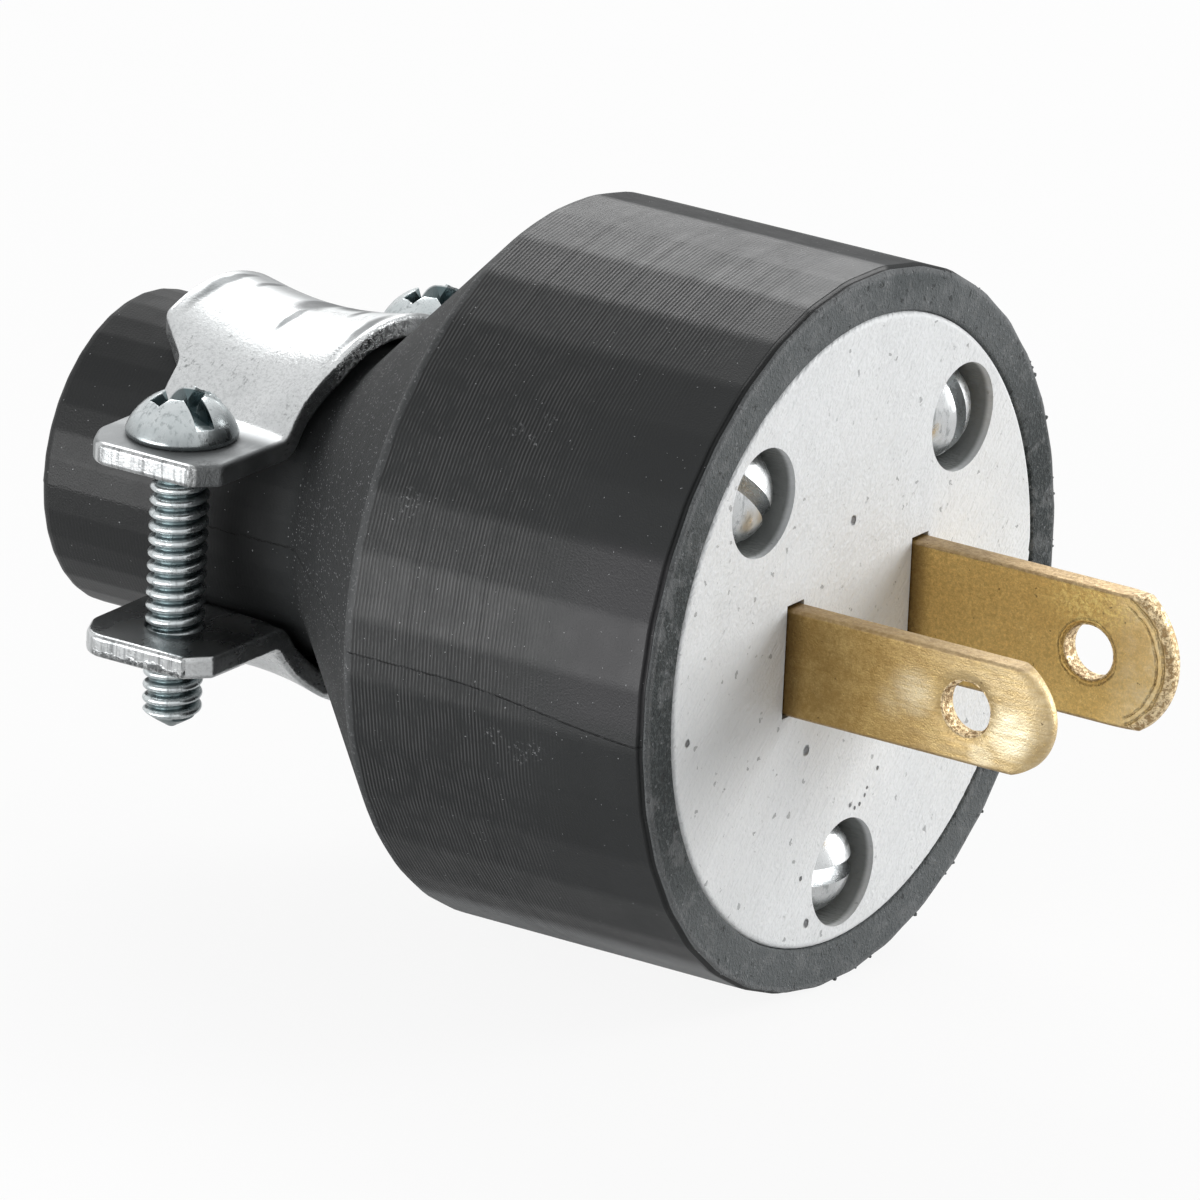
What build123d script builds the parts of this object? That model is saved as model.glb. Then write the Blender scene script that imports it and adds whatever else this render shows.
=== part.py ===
from build123d import *
import math
import os

# A straight blade plug for a two-wire cord, in millimetres.
# The blades point along +X and x = 0 is the front face of the cover.
# +Z is up and runs along the width of the blades, with the narrow blade on the -Y side.

# How far a cutting solid runs past the face that it cuts
beyond = 1.0
# How close an edge lies to a plane to count as on it
near = 0.01

# Barrel, shoulder and neck of the rubber shell
facet_count = 36
barrel_corner_radius = 21.1
barrel_turning_margin = 0.04
barrel_turned_radius = barrel_corner_radius + barrel_turning_margin
barrel_back = -20.2
neck_radius = 9.3
neck_length = 17.96
neck_end_radius = 0.7
shoulder_root_radius = 0.9
shoulder_edge_radius = 1.3
# The shoulder slopes at 45 degrees, so it is as long as the radius drops.
neck_front = barrel_back - (barrel_turned_radius - neck_radius)
neck_back = neck_front - neck_length
rim_lip_step = 0.15
rim_groove_depth = 0.09
rim_groove_front = -0.3
rim_groove_width = 0.25
rim_groove_back = rim_groove_front - rim_groove_width
rim_lip_radius = barrel_corner_radius - rim_lip_step
rim_groove_radius = rim_lip_radius - rim_groove_depth

# Hollow of the rubber shell
rim_width = 2.7
cover_radius = barrel_corner_radius - rim_width
cover_thickness = 6.0
cover_back = -cover_thickness
base_step = 1.0
base_radius = cover_radius - base_step
base_length = 11.5
base_back = cover_back - base_length
base_ledge_width = 4.9
wire_space_radius = base_radius - base_ledge_width
wire_space_length = 9.5
wire_space_back = base_back - wire_space_length
cord_bore_radius = 5.4
cord_mouth_chamfer = 0.8

# Six-size machine screw, used for the terminals, the cover and the clamp
screw_radius = 1.72
thread_clearance = 0.033
passing_clearance = 0.23
tapped_hole_radius = screw_radius + thread_clearance
passing_hole_radius = screw_radius + passing_clearance
head_skirt = 0.35
small_head_radius = 2.95
small_head_height = 2.4
small_slot_width = 1.0
small_slot_depth = 1.3

# Front cover, with the wells and inserts of its three screws
cover_edge_radius = 0.35
well_edge_margin = 4.0
well_circle_radius = cover_radius - well_edge_margin
well_angles = {"left": 135.0, "right": 45.0, "bottom": 270.0}
well_clearance = 0.225
well_radius = small_head_radius + well_clearance
well_depth = 2.45
well_floor = -well_depth
cover_slot_angles = {"left": -47.0, "right": -86.0, "bottom": 2.0}
insert_wall = 0.647
insert_radius = tapped_hole_radius + insert_wall
insert_length = 8.0
insert_back = cover_back - insert_length
cover_screw_stop_short = 0.6
cover_screw_end = insert_back + cover_screw_stop_short
insert_relief_depth = 1.2
insert_relief_back = insert_back - insert_relief_depth

# Blades
blade_offset = 6.35
blade_thickness = 1.52
blade_length = 17.46
blade_edge_radius = 0.22
narrow_width = 6.35
wide_width = 7.92
narrow_tip_radius = 3.3
wide_tip_radius = 4.8
hole_radius = 1.59
hole_from_face = 11.9
hole_bevel = 0.4
tip_bevel_length = 0.95
tip_bevel_depth = 0.36
tip_bevel_start = 1.6
blade_slot_side_clearance = 0.09
blade_slot_end_clearance = 0.18
blade_shoulder_length = 2.2
blade_shoulder_back = cover_back - blade_shoulder_length
blade_shoulder_overhang = 1.5
tab_width = 7.0
tab_stop_short = 1.0
tab_back = base_back + tab_stop_short

# Pockets for the blades in the terminal base
pocket_clearance = 0.06
tab_wall_thickness = 1.8
tab_wall_back = blade_shoulder_back - tab_wall_thickness

# Terminal screws and the plates under them, in a chamber at the back of the base
terminal_x = (tab_wall_back + tab_back) / 2
terminal_slot_angle = 20.0
terminal_screw_overrun = 1.39
terminal_relief_depth = 0.3
terminal_relief_radius = 2.1
plate_end_gap = 0.15
plate_length = tab_wall_back - tab_back - 2 * plate_end_gap
plate_width = 7.8
plate_thickness = 1.0
plate_corner_radius = 0.8
chamber_side_gap = 1.3
chamber_half_height = plate_width / 2 + chamber_side_gap

# Arch of the cord clamp, which grips the neck at its waist
clamp_thickness = 1.35
clamp_standoff = 6.56
clamp_center = neck_front - clamp_standoff
clamp_curve_radius = 26.0
clamp_curve_reach = 8.0
clamp_edge_radius = 0.3
crest_rear_reach = 6.2
crest_front_reach = 6.5
crest_rear_width = 4.7
crest_front_width = 5.2
clamp_rear_corner_radius = 0.9
clamp_front_corner_radius = 0.7

# Screws of the cord clamp
clamp_screw_shift = 0.8
clamp_screw_x = clamp_center + clamp_screw_shift
clamp_screw_standoff = 3.3
clamp_screw_offset = neck_radius + clamp_screw_standoff
clamp_screw_length = 17.46
clamp_point_length = 0.9
clamp_point_radius = 0.55
clamp_head_radius = 3.25
clamp_head_height = 2.65
clamp_slot_width = 1.15
clamp_slot_depth = 1.5
clamp_slot_angle = -25.0
cross_width = 1.2
cross_reach = 1.8
cross_depth = 1.9

# Ears of the cord clamp, which the screws pass through
ear_inner_height = 5.05
ear_outer_height = ear_inner_height + clamp_thickness
ear_end_margin = 4.4
ear_reach = clamp_screw_offset + ear_end_margin
ear_bend_radius = 0.9
ear_rear_margin = 4.4
ear_front_margin = 5.0
ear_corner_taper = 1.2
ear_rear_corner_start = 2.4
ear_rear_corner_radius = 1.8
ear_front_corner_start = 1.4
ear_front_corner_radius = 0.35
ear_rear_root_gap = 6.0
ear_front_root_gap = 5.0
ear_taper = 0.1


def rod(radius, start, end, y=0.0, z=0.0):
    """A cylinder along X between two values of x."""
    return Pos((start + end) / 2, y, z) * Rot(0, 90, 0) * Cylinder(radius, abs(end - start))


def block(x_range, y_range, z_range):
    """A box between three pairs of limits."""
    size = [high - low for low, high in (x_range, y_range, z_range)]
    middle = [(high + low) / 2 for low, high in (x_range, y_range, z_range)]
    return Pos(*middle) * Box(*size)


def turned(points):
    """A solid turned round the X axis from x and radius points."""
    line = Polyline(*points, close=True)
    return revolve(make_face(line), Axis.X)


def facet_prism(corner_radius, start, end):
    """A many-sided bar along X with a flat facet at the top and bottom."""
    outline = RegularPolygon(corner_radius, facet_count, rotation=180 / facet_count)
    return extrude(Plane.YZ.offset(start) * outline, amount=end - start)


def dome(radius, height):
    """A low rounded screw head that stands on the XY plane."""
    cap_height = height - head_skirt
    ball_radius = (radius * radius + cap_height * cap_height) / (2 * cap_height)
    ball = Pos(0, 0, height - ball_radius) * Sphere(ball_radius)
    keep = Pos(0, 0, height / 2) * Cylinder(radius, height)
    return ball & keep


def slotted_screw(slot_angle, shank_length):
    """A small domed slotted screw that stands on the XY plane with its shank below."""
    slot = Pos(0, 0, small_head_height) * Rot(0, 0, slot_angle)
    slot *= Box(4 * small_head_radius, small_slot_width, 2 * small_slot_depth)
    shank = Pos(0, 0, -shank_length / 2) * Cylinder(screw_radius, shank_length)
    return dome(small_head_radius, small_head_height) - slot + shank


def well_place(name):
    """The y and z of a cover screw."""
    angle = math.radians(well_angles[name])
    return well_circle_radius * math.cos(angle), well_circle_radius * math.sin(angle)


def make_shell():
    profile = Polyline(
        (beyond, 0),
        (beyond, barrel_turned_radius),
        (barrel_back, barrel_turned_radius),
        (neck_front, neck_radius),
        (neck_back, neck_radius),
        (neck_back, 0),
        close=True,
    )
    face = make_face(profile)
    corners = {
        (barrel_back, barrel_turned_radius): shoulder_edge_radius,
        (neck_front, neck_radius): shoulder_root_radius,
        (neck_back, neck_radius): neck_end_radius,
    }
    for (x, radius), round_radius in corners.items():
        vertex = face.vertices().sort_by_distance((x, radius, 0))[0]
        face = fillet(vertex, round_radius)
    shell = revolve(face, Axis.X) & facet_prism(barrel_corner_radius, neck_back - beyond, 0)
    groove = rod(barrel_corner_radius + beyond, rim_groove_back, rim_groove_front)
    groove -= facet_prism(rim_groove_radius, rim_groove_back - beyond, beyond)
    lip_cut = rod(barrel_corner_radius + beyond, rim_groove_back, beyond)
    lip_cut -= facet_prism(rim_lip_radius, rim_groove_back - beyond, 2 * beyond)
    hollow = turned([
        (beyond, 0),
        (beyond, cover_radius),
        (cover_back, cover_radius),
        (cover_back, base_radius),
        (base_back, base_radius),
        (base_back, wire_space_radius),
        (wire_space_back, cord_bore_radius),
        (neck_back + cord_mouth_chamfer, cord_bore_radius),
        (neck_back, cord_bore_radius + cord_mouth_chamfer),
        (neck_back - beyond, cord_bore_radius + cord_mouth_chamfer),
        (neck_back - beyond, 0),
    ])
    return shell - groove - lip_cut - hollow


def blade_slot(side, width):
    half_width = blade_thickness / 2 + blade_slot_side_clearance
    half_height = width / 2 + blade_slot_end_clearance
    middle = side * blade_offset
    return block(
        (cover_back - beyond, beyond),
        (middle - half_width, middle + half_width),
        (-half_height, half_height),
    )


def make_cover():
    cover = rod(cover_radius, cover_back, 0)
    cover = fillet(cover.edges().sort_by(Axis.X)[-1], cover_edge_radius)
    cover -= blade_slot(-1, narrow_width)
    cover -= blade_slot(1, wide_width)
    for name in well_angles:
        y, z = well_place(name)
        cover -= rod(well_radius, well_floor, beyond, y, z)
        cover -= rod(passing_hole_radius, cover_back - beyond, beyond, y, z)
    return cover


def tip_bevel(tip_radius, direction):
    """The ring of metal that is taken off one face along the round tip of a blade."""
    inner = tip_radius - tip_bevel_length
    outer = tip_radius + beyond
    slope = tip_bevel_depth / tip_bevel_length
    face = blade_thickness / 2
    low = face - slope * (outer - inner)
    section = Polyline(
        (inner, direction * face),
        (outer, direction * low),
        (outer, direction * blade_thickness),
        (inner, direction * blade_thickness),
        close=True,
    )
    ring = revolve(make_face(section), Axis.Y)
    sides = (-blade_thickness, blade_thickness)
    front_half = block((tip_bevel_start, outer), sides, (-outer, outer))
    return Pos(blade_length - tip_radius, 0, 0) * (ring & front_half)


def make_blade(side, width, tip_radius):
    half = width / 2
    shoulder_half = half + blade_shoulder_overhang
    tab_half = tab_width / 2
    face = blade_thickness / 2
    arc_start = blade_length - tip_radius + math.sqrt(tip_radius ** 2 - half ** 2)
    outline = Polyline(
        (arc_start, half),
        (cover_back, half),
        (cover_back, shoulder_half),
        (blade_shoulder_back, shoulder_half),
        (blade_shoulder_back, tab_half),
        (tab_back, tab_half),
        (tab_back, -tab_half),
        (blade_shoulder_back, -tab_half),
        (blade_shoulder_back, -shoulder_half),
        (cover_back, -shoulder_half),
        (cover_back, -half),
        (arc_start, -half),
    )
    tip = ThreePointArc((arc_start, -half), (blade_length, 0), (arc_start, half))
    sheet = Plane.XZ * make_face(Curve() + [outline, tip])
    blade = extrude(sheet, amount=face, both=True)
    front = blade.edges().filter_by(lambda edge: edge.center().X > 0)
    long_edges = front.filter_by(lambda edge: abs(abs(edge.center().Y) - face) < near)
    blade = fillet(long_edges, blade_edge_radius)
    across = Rot(90, 0, 0)
    blade -= Pos(hole_from_face, 0, 0) * across * Cylinder(hole_radius, 2 * blade_thickness)
    blade -= Pos(terminal_x, 0, 0) * across * Cylinder(tapped_hole_radius, 2 * blade_thickness)
    for direction in (-1, 1):
        blade -= tip_bevel(tip_radius, direction)
        bevel = Cone(hole_radius, hole_radius + hole_bevel, hole_bevel)
        place = Pos(hole_from_face, direction * (face - hole_bevel / 2), 0)
        blade -= place * Rot(-90 * direction, 0, 0) * bevel
    return Pos(0, side * blade_offset, 0) * blade


def make_base():
    base = rod(base_radius, base_back, cover_back)
    inner_wall = blade_offset - blade_thickness / 2
    pocket_half = blade_thickness / 2 + pocket_clearance
    tab_half = tab_width / 2 + pocket_clearance
    screw_tip = inner_wall - terminal_screw_overrun
    relief_length = terminal_screw_overrun + terminal_relief_depth
    for side, width in ((-1, narrow_width), (1, wide_width)):
        middle = side * blade_offset
        shoulder_half = width / 2 + blade_shoulder_overhang + pocket_clearance
        y_range = (middle - pocket_half, middle + pocket_half)
        base -= block((blade_shoulder_back, beyond), y_range, (-shoulder_half, shoulder_half))
        base -= block((tab_wall_back - beyond, beyond), y_range, (-tab_half, tab_half))
        chamber = sorted((side * inner_wall, side * (base_radius + beyond)))
        heights = (-chamber_half_height, chamber_half_height)
        base -= block((base_back - beyond, tab_wall_back), chamber, heights)
        relief_middle = side * (screw_tip - terminal_relief_depth + relief_length / 2)
        relief = Pos(terminal_x, relief_middle, 0) * Rot(90, 0, 0)
        base -= relief * Cylinder(terminal_relief_radius, relief_length)
    for name in well_angles:
        y, z = well_place(name)
        base -= rod(insert_radius, insert_back, beyond, y, z)
        base -= rod(passing_hole_radius, insert_relief_back, beyond, y, z)
    return base


def make_plate():
    plate = Box(plate_length, plate_width, plate_thickness)
    plate = fillet(plate.edges().filter_by(Axis.Z), plate_corner_radius)
    return plate - Cylinder(passing_hole_radius, 2 * plate_thickness)


def make_terminal(side):
    """The binding screw and its plate on the outer side of one blade's tab."""
    outer_face = blade_offset + blade_thickness / 2
    head_seat = outer_face + plate_thickness
    turn = Rot(-90 * side, 0, 0)
    shank_length = plate_thickness + blade_thickness + terminal_screw_overrun
    screw = slotted_screw(side * terminal_slot_angle, shank_length)
    screw = Pos(terminal_x, side * head_seat, 0) * turn * screw
    plate = Pos(terminal_x, side * (outer_face + plate_thickness / 2), 0) * turn * make_plate()
    return screw, plate


def make_cover_screw(name):
    y, z = well_place(name)
    turn = Rot(cover_slot_angles[name], 0, 0) * Rot(0, 90, 90)
    return Pos(well_floor, y, z) * turn * slotted_screw(0, well_floor - cover_screw_end)


def make_insert(name):
    y, z = well_place(name)
    body = rod(insert_radius, insert_back, cover_back, y, z)
    return body - rod(tapped_hole_radius, insert_back - beyond, cover_back + beyond, y, z)


def clamp_hourglass(offset):
    """The solid inside an hourglass surface that stands off from the neck."""
    middle = neck_radius + clamp_curve_radius
    length = 2 * clamp_curve_reach
    section = Pos(clamp_center, middle / 2) * Rectangle(length, middle)
    section -= Pos(clamp_center, middle) * Circle(clamp_curve_radius - offset)
    return revolve(section, Axis.X)


def clamp_outline():
    """The outline of the clamp seen from above."""
    crest_rear = clamp_center - crest_rear_reach
    crest_front = clamp_center + crest_front_reach
    ear_rear = clamp_screw_x - ear_rear_margin
    ear_front = clamp_screw_x + ear_front_margin
    half = [
        (crest_rear, 0),
        (crest_rear, crest_rear_width),
        (ear_rear - ear_taper, clamp_screw_offset - ear_rear_root_gap),
        (ear_rear, ear_reach - ear_rear_corner_start),
        (ear_rear + ear_corner_taper, ear_reach),
        (ear_front - ear_front_corner_start, ear_reach),
        (ear_front - ear_taper, ear_reach - ear_front_corner_start),
        (ear_front, clamp_screw_offset - ear_front_root_gap),
        (crest_front - ear_taper, crest_front_width),
        (crest_front, 0),
    ]
    other_half = [(x, -y) for x, y in reversed(half[1:-1])]
    outline = make_face(Polyline(*half, *other_half, close=True))
    rounded = [
        (half[1:3], clamp_rear_corner_radius),
        (half[3:5], ear_rear_corner_radius),
        (half[5:7], ear_front_corner_radius),
        (half[7:9], clamp_front_corner_radius),
    ]
    for points, radius in rounded:
        corners = [
            vertex for vertex in outline.vertices()
            if any(abs(vertex.X - x) < near and abs(abs(vertex.Y) - y) < near for x, y in points)
        ]
        outline = fillet(corners, radius)
    return outline


def make_clamp_upper():
    inside = clamp_hourglass(0)
    lengths = (clamp_center - clamp_curve_reach, clamp_center + clamp_curve_reach)
    widths = (-ear_reach, ear_reach)
    arch_top = 2 * neck_radius
    half = clamp_hourglass(clamp_thickness) & block(lengths, widths, (ear_inner_height, arch_top))
    half += block(lengths, widths, (ear_inner_height, ear_outer_height))
    half -= inside
    bend_radii = {
        ear_outer_height: ear_bend_radius,
        ear_inner_height: ear_bend_radius + clamp_thickness / 2,
    }
    for height, radius in bend_radii.items():
        bends = [
            edge for edge in half.edges()
            if abs(edge.center().Z - height) < near
            and abs(edge.center().Y) < clamp_screw_offset
            and edge.length > clamp_curve_reach
        ]
        half = fillet(bends, radius)
    half &= extrude(clamp_outline(), amount=arch_top)
    return fillet(half.edges(), clamp_edge_radius)


def make_clamp(side):
    half = make_clamp_upper()
    radius = passing_hole_radius
    if side < 0:
        half = mirror(half, about=Plane.XY)
        radius = tapped_hole_radius
    for offset in (-clamp_screw_offset, clamp_screw_offset):
        half -= Pos(clamp_screw_x, offset, 0) * Cylinder(radius, 4 * neck_radius)
    return half


def make_clamp_screw(side):
    head = dome(clamp_head_radius, clamp_head_height)
    slot_place = Pos(0, 0, clamp_head_height) * Rot(0, 0, clamp_slot_angle)
    head -= slot_place * Box(4 * clamp_head_radius, clamp_slot_width, 2 * clamp_slot_depth)
    head -= slot_place * Box(cross_width, 2 * cross_reach, 2 * cross_depth)
    straight = clamp_screw_length - clamp_point_length
    shank = Pos(0, 0, -straight / 2) * Cylinder(screw_radius, straight)
    point = Cone(clamp_point_radius, screw_radius, clamp_point_length)
    shank += Pos(0, 0, -straight - clamp_point_length / 2) * point
    place = Pos(clamp_screw_x, side * clamp_screw_offset, ear_outer_height)
    return place * (head + shank)


parts = {
    "rubber_shell": make_shell(),
    "front_cover": make_cover(),
    "terminal_base": make_base(),
    "blade_narrow": make_blade(-1, narrow_width, narrow_tip_radius),
    "blade_wide": make_blade(1, wide_width, wide_tip_radius),
    "clamp_saddle_upper": make_clamp(1),
    "clamp_saddle_lower": make_clamp(-1),
    "clamp_screw_near": make_clamp_screw(-1),
    "clamp_screw_far": make_clamp_screw(1),
}
for side, blade in ((-1, "narrow"), (1, "wide")):
    screw, plate = make_terminal(side)
    parts["terminal_screw_" + blade] = screw
    parts["pressure_plate_" + blade] = plate
for well in well_angles:
    parts["cover_screw_" + well] = make_cover_screw(well)
    parts["threaded_insert_" + well] = make_insert(well)

os.makedirs("parts", exist_ok=True)
for name, solid in parts.items():
    bodies = solid.solids()
    assert len(bodies) == 1, f"{name} is {len(bodies)} solids"
    bodies[0].label = name
    export_step(bodies[0], "parts/" + name + ".step")
    box = bodies[0].bounding_box()
    print(f"{name:26s} volume {bodies[0].volume:9.2f}  {box.min}  {box.max}")
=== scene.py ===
import math
import random

import bmesh
import bpy
import numpy as np
from mathutils import Matrix, Vector, noise


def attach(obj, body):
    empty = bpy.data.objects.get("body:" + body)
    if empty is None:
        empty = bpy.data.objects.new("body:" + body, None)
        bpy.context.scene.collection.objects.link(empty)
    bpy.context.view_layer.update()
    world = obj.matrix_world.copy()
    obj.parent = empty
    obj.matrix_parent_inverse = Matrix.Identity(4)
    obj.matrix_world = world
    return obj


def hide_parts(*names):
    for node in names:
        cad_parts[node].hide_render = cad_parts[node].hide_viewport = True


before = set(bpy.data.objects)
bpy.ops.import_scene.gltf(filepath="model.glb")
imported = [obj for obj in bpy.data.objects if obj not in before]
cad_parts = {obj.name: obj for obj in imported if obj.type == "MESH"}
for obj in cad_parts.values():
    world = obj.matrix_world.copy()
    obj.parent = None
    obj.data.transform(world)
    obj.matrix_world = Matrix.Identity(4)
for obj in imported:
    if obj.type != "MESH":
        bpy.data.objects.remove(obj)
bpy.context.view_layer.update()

bl_info = {
    "name": "Straight Blade Plug",
    "version": (1, 0, 0),
    "blender": (4, 5, 0),
    "location": "View3D > Sidebar > Plug",
    "description": "Dresses the packed plug with its rubber, brass and plated steel finishes",
    "category": "Object",
}

MM = 0.001
FACET_COUNT = 36
FACET_STEP = 360.0 / FACET_COUNT
FACET_HALF = FACET_STEP / 2
FACET_SHARE = math.cos(math.radians(FACET_HALF))
NOT_STRETCHED = (1.0, 1.0, 1.0)
SEEN_FROM_SIDE = (1.0, 0.0, 1.0)
ROUND_THE_AXIS = (0.0, 1.0, 1.0)
WHITE = (1.0, 1.0, 1.0, 1.0)


# Small helpers for meshes

def unit(vector):
    """Rows of vectors scaled to length one."""
    length = np.linalg.norm(vector, axis=-1, keepdims=True)
    return vector / np.maximum(length, 1e-12)


def smooth_step(value, low, high):
    """Goes smoothly from 0 at low to 1 at high."""
    t = np.clip((value - low) / (high - low), 0.0, 1.0)
    return t * t * (3.0 - 2.0 * t)


def add_mesh(name, points, faces, normals=None, smooth=True):
    """A new object from points in millimetres."""
    mesh = bpy.data.meshes.new(name)
    mesh.from_pydata((np.asarray(points) * MM).tolist(), [], faces)
    mesh.update()
    mesh.polygons.foreach_set("use_smooth", [smooth] * len(mesh.polygons))
    if normals is not None:
        mesh.normals_split_custom_set_from_vertices(np.asarray(normals).tolist())
    obj = bpy.data.objects.new(name, mesh)
    bpy.context.scene.collection.objects.link(obj)
    return obj


def grid_faces(rows, columns, close_rows=False, close_columns=False):
    """Quads between neighbouring rows and columns of a grid of points."""
    faces = []
    row_count = rows if close_rows else rows - 1
    column_count = columns if close_columns else columns - 1
    for row in range(row_count):
        below = row * columns
        above = ((row + 1) % rows) * columns
        for column in range(column_count):
            ahead = (column + 1) % columns
            faces.append((below + column, below + ahead, above + ahead, above + column))
    return faces


def circle_points(radius, z, count):
    """Points round the Z axis."""
    turns = [2 * math.pi * step / count for step in range(count)]
    return [(radius * math.cos(turn), radius * math.sin(turn), z) for turn in turns]


def wobble(points, size, seed):
    """Smooth noise from -1 to 1 at each point, with features of that size in millimetres."""
    shift = Vector((seed * 17.3, seed * 5.1, seed * 9.7))
    return np.array([noise.noise(Vector(point) / size + shift) for point in points])


def paint(obj, material):
    """Gives an object one material in place of all its own."""
    obj.data.materials.clear()
    obj.data.materials.append(material)


def paint_nodes(names, material):
    """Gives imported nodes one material."""
    for name in names:
        paint(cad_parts[name], material)


def place(obj, material, slot_name, replaced=()):
    """Paints a new piece and ties it to the frame."""
    paint(obj, material)
    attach(obj, "root")
    if replaced:
        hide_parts(*replaced)


# Shader nodes, and the node groups that several finishes share

class Nodes:
    """Adds nodes to a tree and links them by socket name."""

    def __init__(self, tree):
        self.tree = tree

    def add(self, kind, **settings):
        node = self.tree.nodes.new("ShaderNode" + kind)
        for name, value in settings.items():
            setattr(node, name, value)
        return node

    def link(self, source, target):
        self.tree.links.new(source, target)

    def feed(self, node, values):
        """Sets a node's inputs: a socket is linked and anything else is stored."""
        for name, value in values.items():
            socket = node.inputs[name]
            if isinstance(value, bpy.types.NodeSocket):
                self.link(value, socket)
            else:
                socket.default_value = value

    def split(self, vector):
        """The vector's X, Y and Z."""
        node = self.add("SeparateXYZ")
        self.feed(node, {"Vector": vector})
        return node.outputs["X"], node.outputs["Y"], node.outputs["Z"]

    def math(self, operation, *values):
        node = self.add("Math", operation=operation)
        self.feed(node, dict(enumerate(values)))
        return node.outputs[0]

    def vector_math(self, operation, *values):
        node = self.add("VectorMath", operation=operation)
        self.feed(node, dict(enumerate(values)))
        return node.outputs

    def chain(self, operation, values):
        """One operation over several values, two at a time."""
        result = values[0]
        for value in values[1:]:
            result = self.math(operation, result, value)
        return result

    def times(self, *values):
        return self.chain("MULTIPLY", values)

    def plus(self, *values):
        return self.chain("ADD", values)

    def minus(self, *values):
        return self.chain("SUBTRACT", values)

    def most(self, *values):
        return self.chain("MAXIMUM", values)

    def absolute(self, value):
        return self.math("ABSOLUTE", value)

    def spread(self, value, low, high, out_low=0.0, out_high=1.0):
        """Maps a range of values on to another, with ends held."""
        node = self.add("MapRange", interpolation_type="SMOOTHSTEP")
        self.feed(node, {
            "Value": value, "From Min": low, "From Max": high, "To Min": out_low, "To Max": out_high,
        })
        return node.outputs["Result"]

    def flip(self, mask):
        """1 where the mask is 0, and 0 where it is 1."""
        return self.spread(mask, 0.0, 1.0, 1.0, 0.0)

    def band(self, value, start, end, soft):
        """1 between two values and 0 outside them, with soft edges."""
        risen = self.spread(value, start - soft, start)
        return self.times(risen, self.spread(value, end, end + soft, 1.0, 0.0))

    def mix(self, factor, first, second):
        """Blends two colours, each a socket or three numbers."""
        node = self.add("Mix", data_type="RGBA")
        self.feed(node, {0: factor})
        for socket, color in ((6, first), (7, second)):
            linked = isinstance(color, bpy.types.NodeSocket)
            self.feed(node, {socket: color if linked else (*color, 1.0)})
        return node.outputs[2]

    def tint(self, base, mask, color, share=None):
        """The base colour with another laid over it where the mask is, in full or by a share."""
        factor = mask if share is None else self.times(mask, share)
        return self.mix(factor, base, color)

    def noise(self, vector, scale, detail=2.0, roughness=0.5):
        node = self.add("TexNoise")
        self.feed(node, {"Vector": vector, "Scale": scale, "Detail": detail, "Roughness": roughness})
        return node.outputs["Fac"]

    def warp(self, vector, scale, amount):
        """The vector moved about by noise, so that what it places comes out uneven."""
        node = self.add("TexNoise")
        self.feed(node, {"Vector": vector, "Scale": scale, "Detail": 2.0})
        return self.vector_math("MULTIPLY_ADD", node.outputs["Color"], (amount, amount, amount), vector)[0]

    def group(self, name, values):
        """A node that uses a shared group, fed by socket name."""
        node = self.add("Group")
        node.node_tree = shared(name)
        self.feed(node, values)
        return node.outputs

    def distance(self, vector, place, stretch=NOT_STRETCHED):
        """Distance in metres from a place given in millimetres."""
        spot = tuple(value * MM for value in place)
        return self.group("Place Distance", {"Vector": vector, "Place": spot, "Stretch": stretch})["Distance"]

    def pit(self, vector, place, radius):
        """A mask of one pit, with its place and radius in millimetres."""
        spot = tuple(value * MM for value in place)
        return self.group("Round Pit", {"Vector": vector, "Place": spot, "Radius": radius * MM})["Mask"]

    def specks(self, vector, cells, size, share):
        """A mask of specks: cells per metre, size within a cell and share of the cells."""
        return self.group("Scattered Specks", {
            "Vector": vector, "Cells per Metre": cells, "Speck Size": size, "Share": share,
        })["Mask"]

    def grain(self, vector, fine, coarse, share):
        """Height and blotches of a grain: its fine scale, coarse scale and share of the coarse one."""
        return self.group("Surface Grain", {
            "Vector": vector, "Fine Scale": fine, "Coarse Scale": coarse, "Coarse Share": share,
        })

    def streaks(self, vector, stretch, scale):
        return self.group("Fine Streaks", {"Vector": vector, "Stretch": stretch, "Scale": scale})["Height"]

    def bump(self, height, distance):
        node = self.add("Bump")
        self.feed(node, {"Height": height, "Distance": distance})
        return node.outputs["Normal"]


def new_group(name, inputs, outputs):
    """A shader node group with named sockets, and the nodes at its two ends."""
    tree = bpy.data.node_groups.new(name, "ShaderNodeTree")
    for label, kind, value in inputs:
        socket = tree.interface.new_socket(label, in_out="INPUT", socket_type="NodeSocket" + kind)
        if value is not None:
            socket.default_value = value
    for label, kind in outputs:
        tree.interface.new_socket(label, in_out="OUTPUT", socket_type="NodeSocket" + kind)
    nodes = Nodes(tree)
    start = tree.nodes.new("NodeGroupInput")
    end = tree.nodes.new("NodeGroupOutput")
    return tree, nodes, start.outputs, end.inputs


def specks_group():
    """Small scattered specks: a mask that is 1 on each speck."""
    tree, nodes, given, result = new_group(
        "Scattered Specks",
        [("Vector", "Vector", None), ("Cells per Metre", "Float", 1000.0),
         ("Speck Size", "Float", 0.12), ("Share", "Float", 0.3)],
        [("Mask", "Float")],
    )
    cells = nodes.add("TexVoronoi", feature="F1")
    nodes.feed(cells, {"Vector": given["Vector"], "Scale": given["Cells per Metre"]})
    near = nodes.math("LESS_THAN", cells.outputs["Distance"], given["Speck Size"])
    draw = nodes.add("SeparateColor")
    nodes.feed(draw, {"Color": cells.outputs["Color"]})
    chosen = nodes.math("LESS_THAN", draw.outputs["Red"], given["Share"])
    kept = nodes.math("GREATER_THAN", draw.outputs["Green"], 0.25)
    nodes.link(nodes.times(near, chosen, kept), result["Mask"])
    return tree


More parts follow.
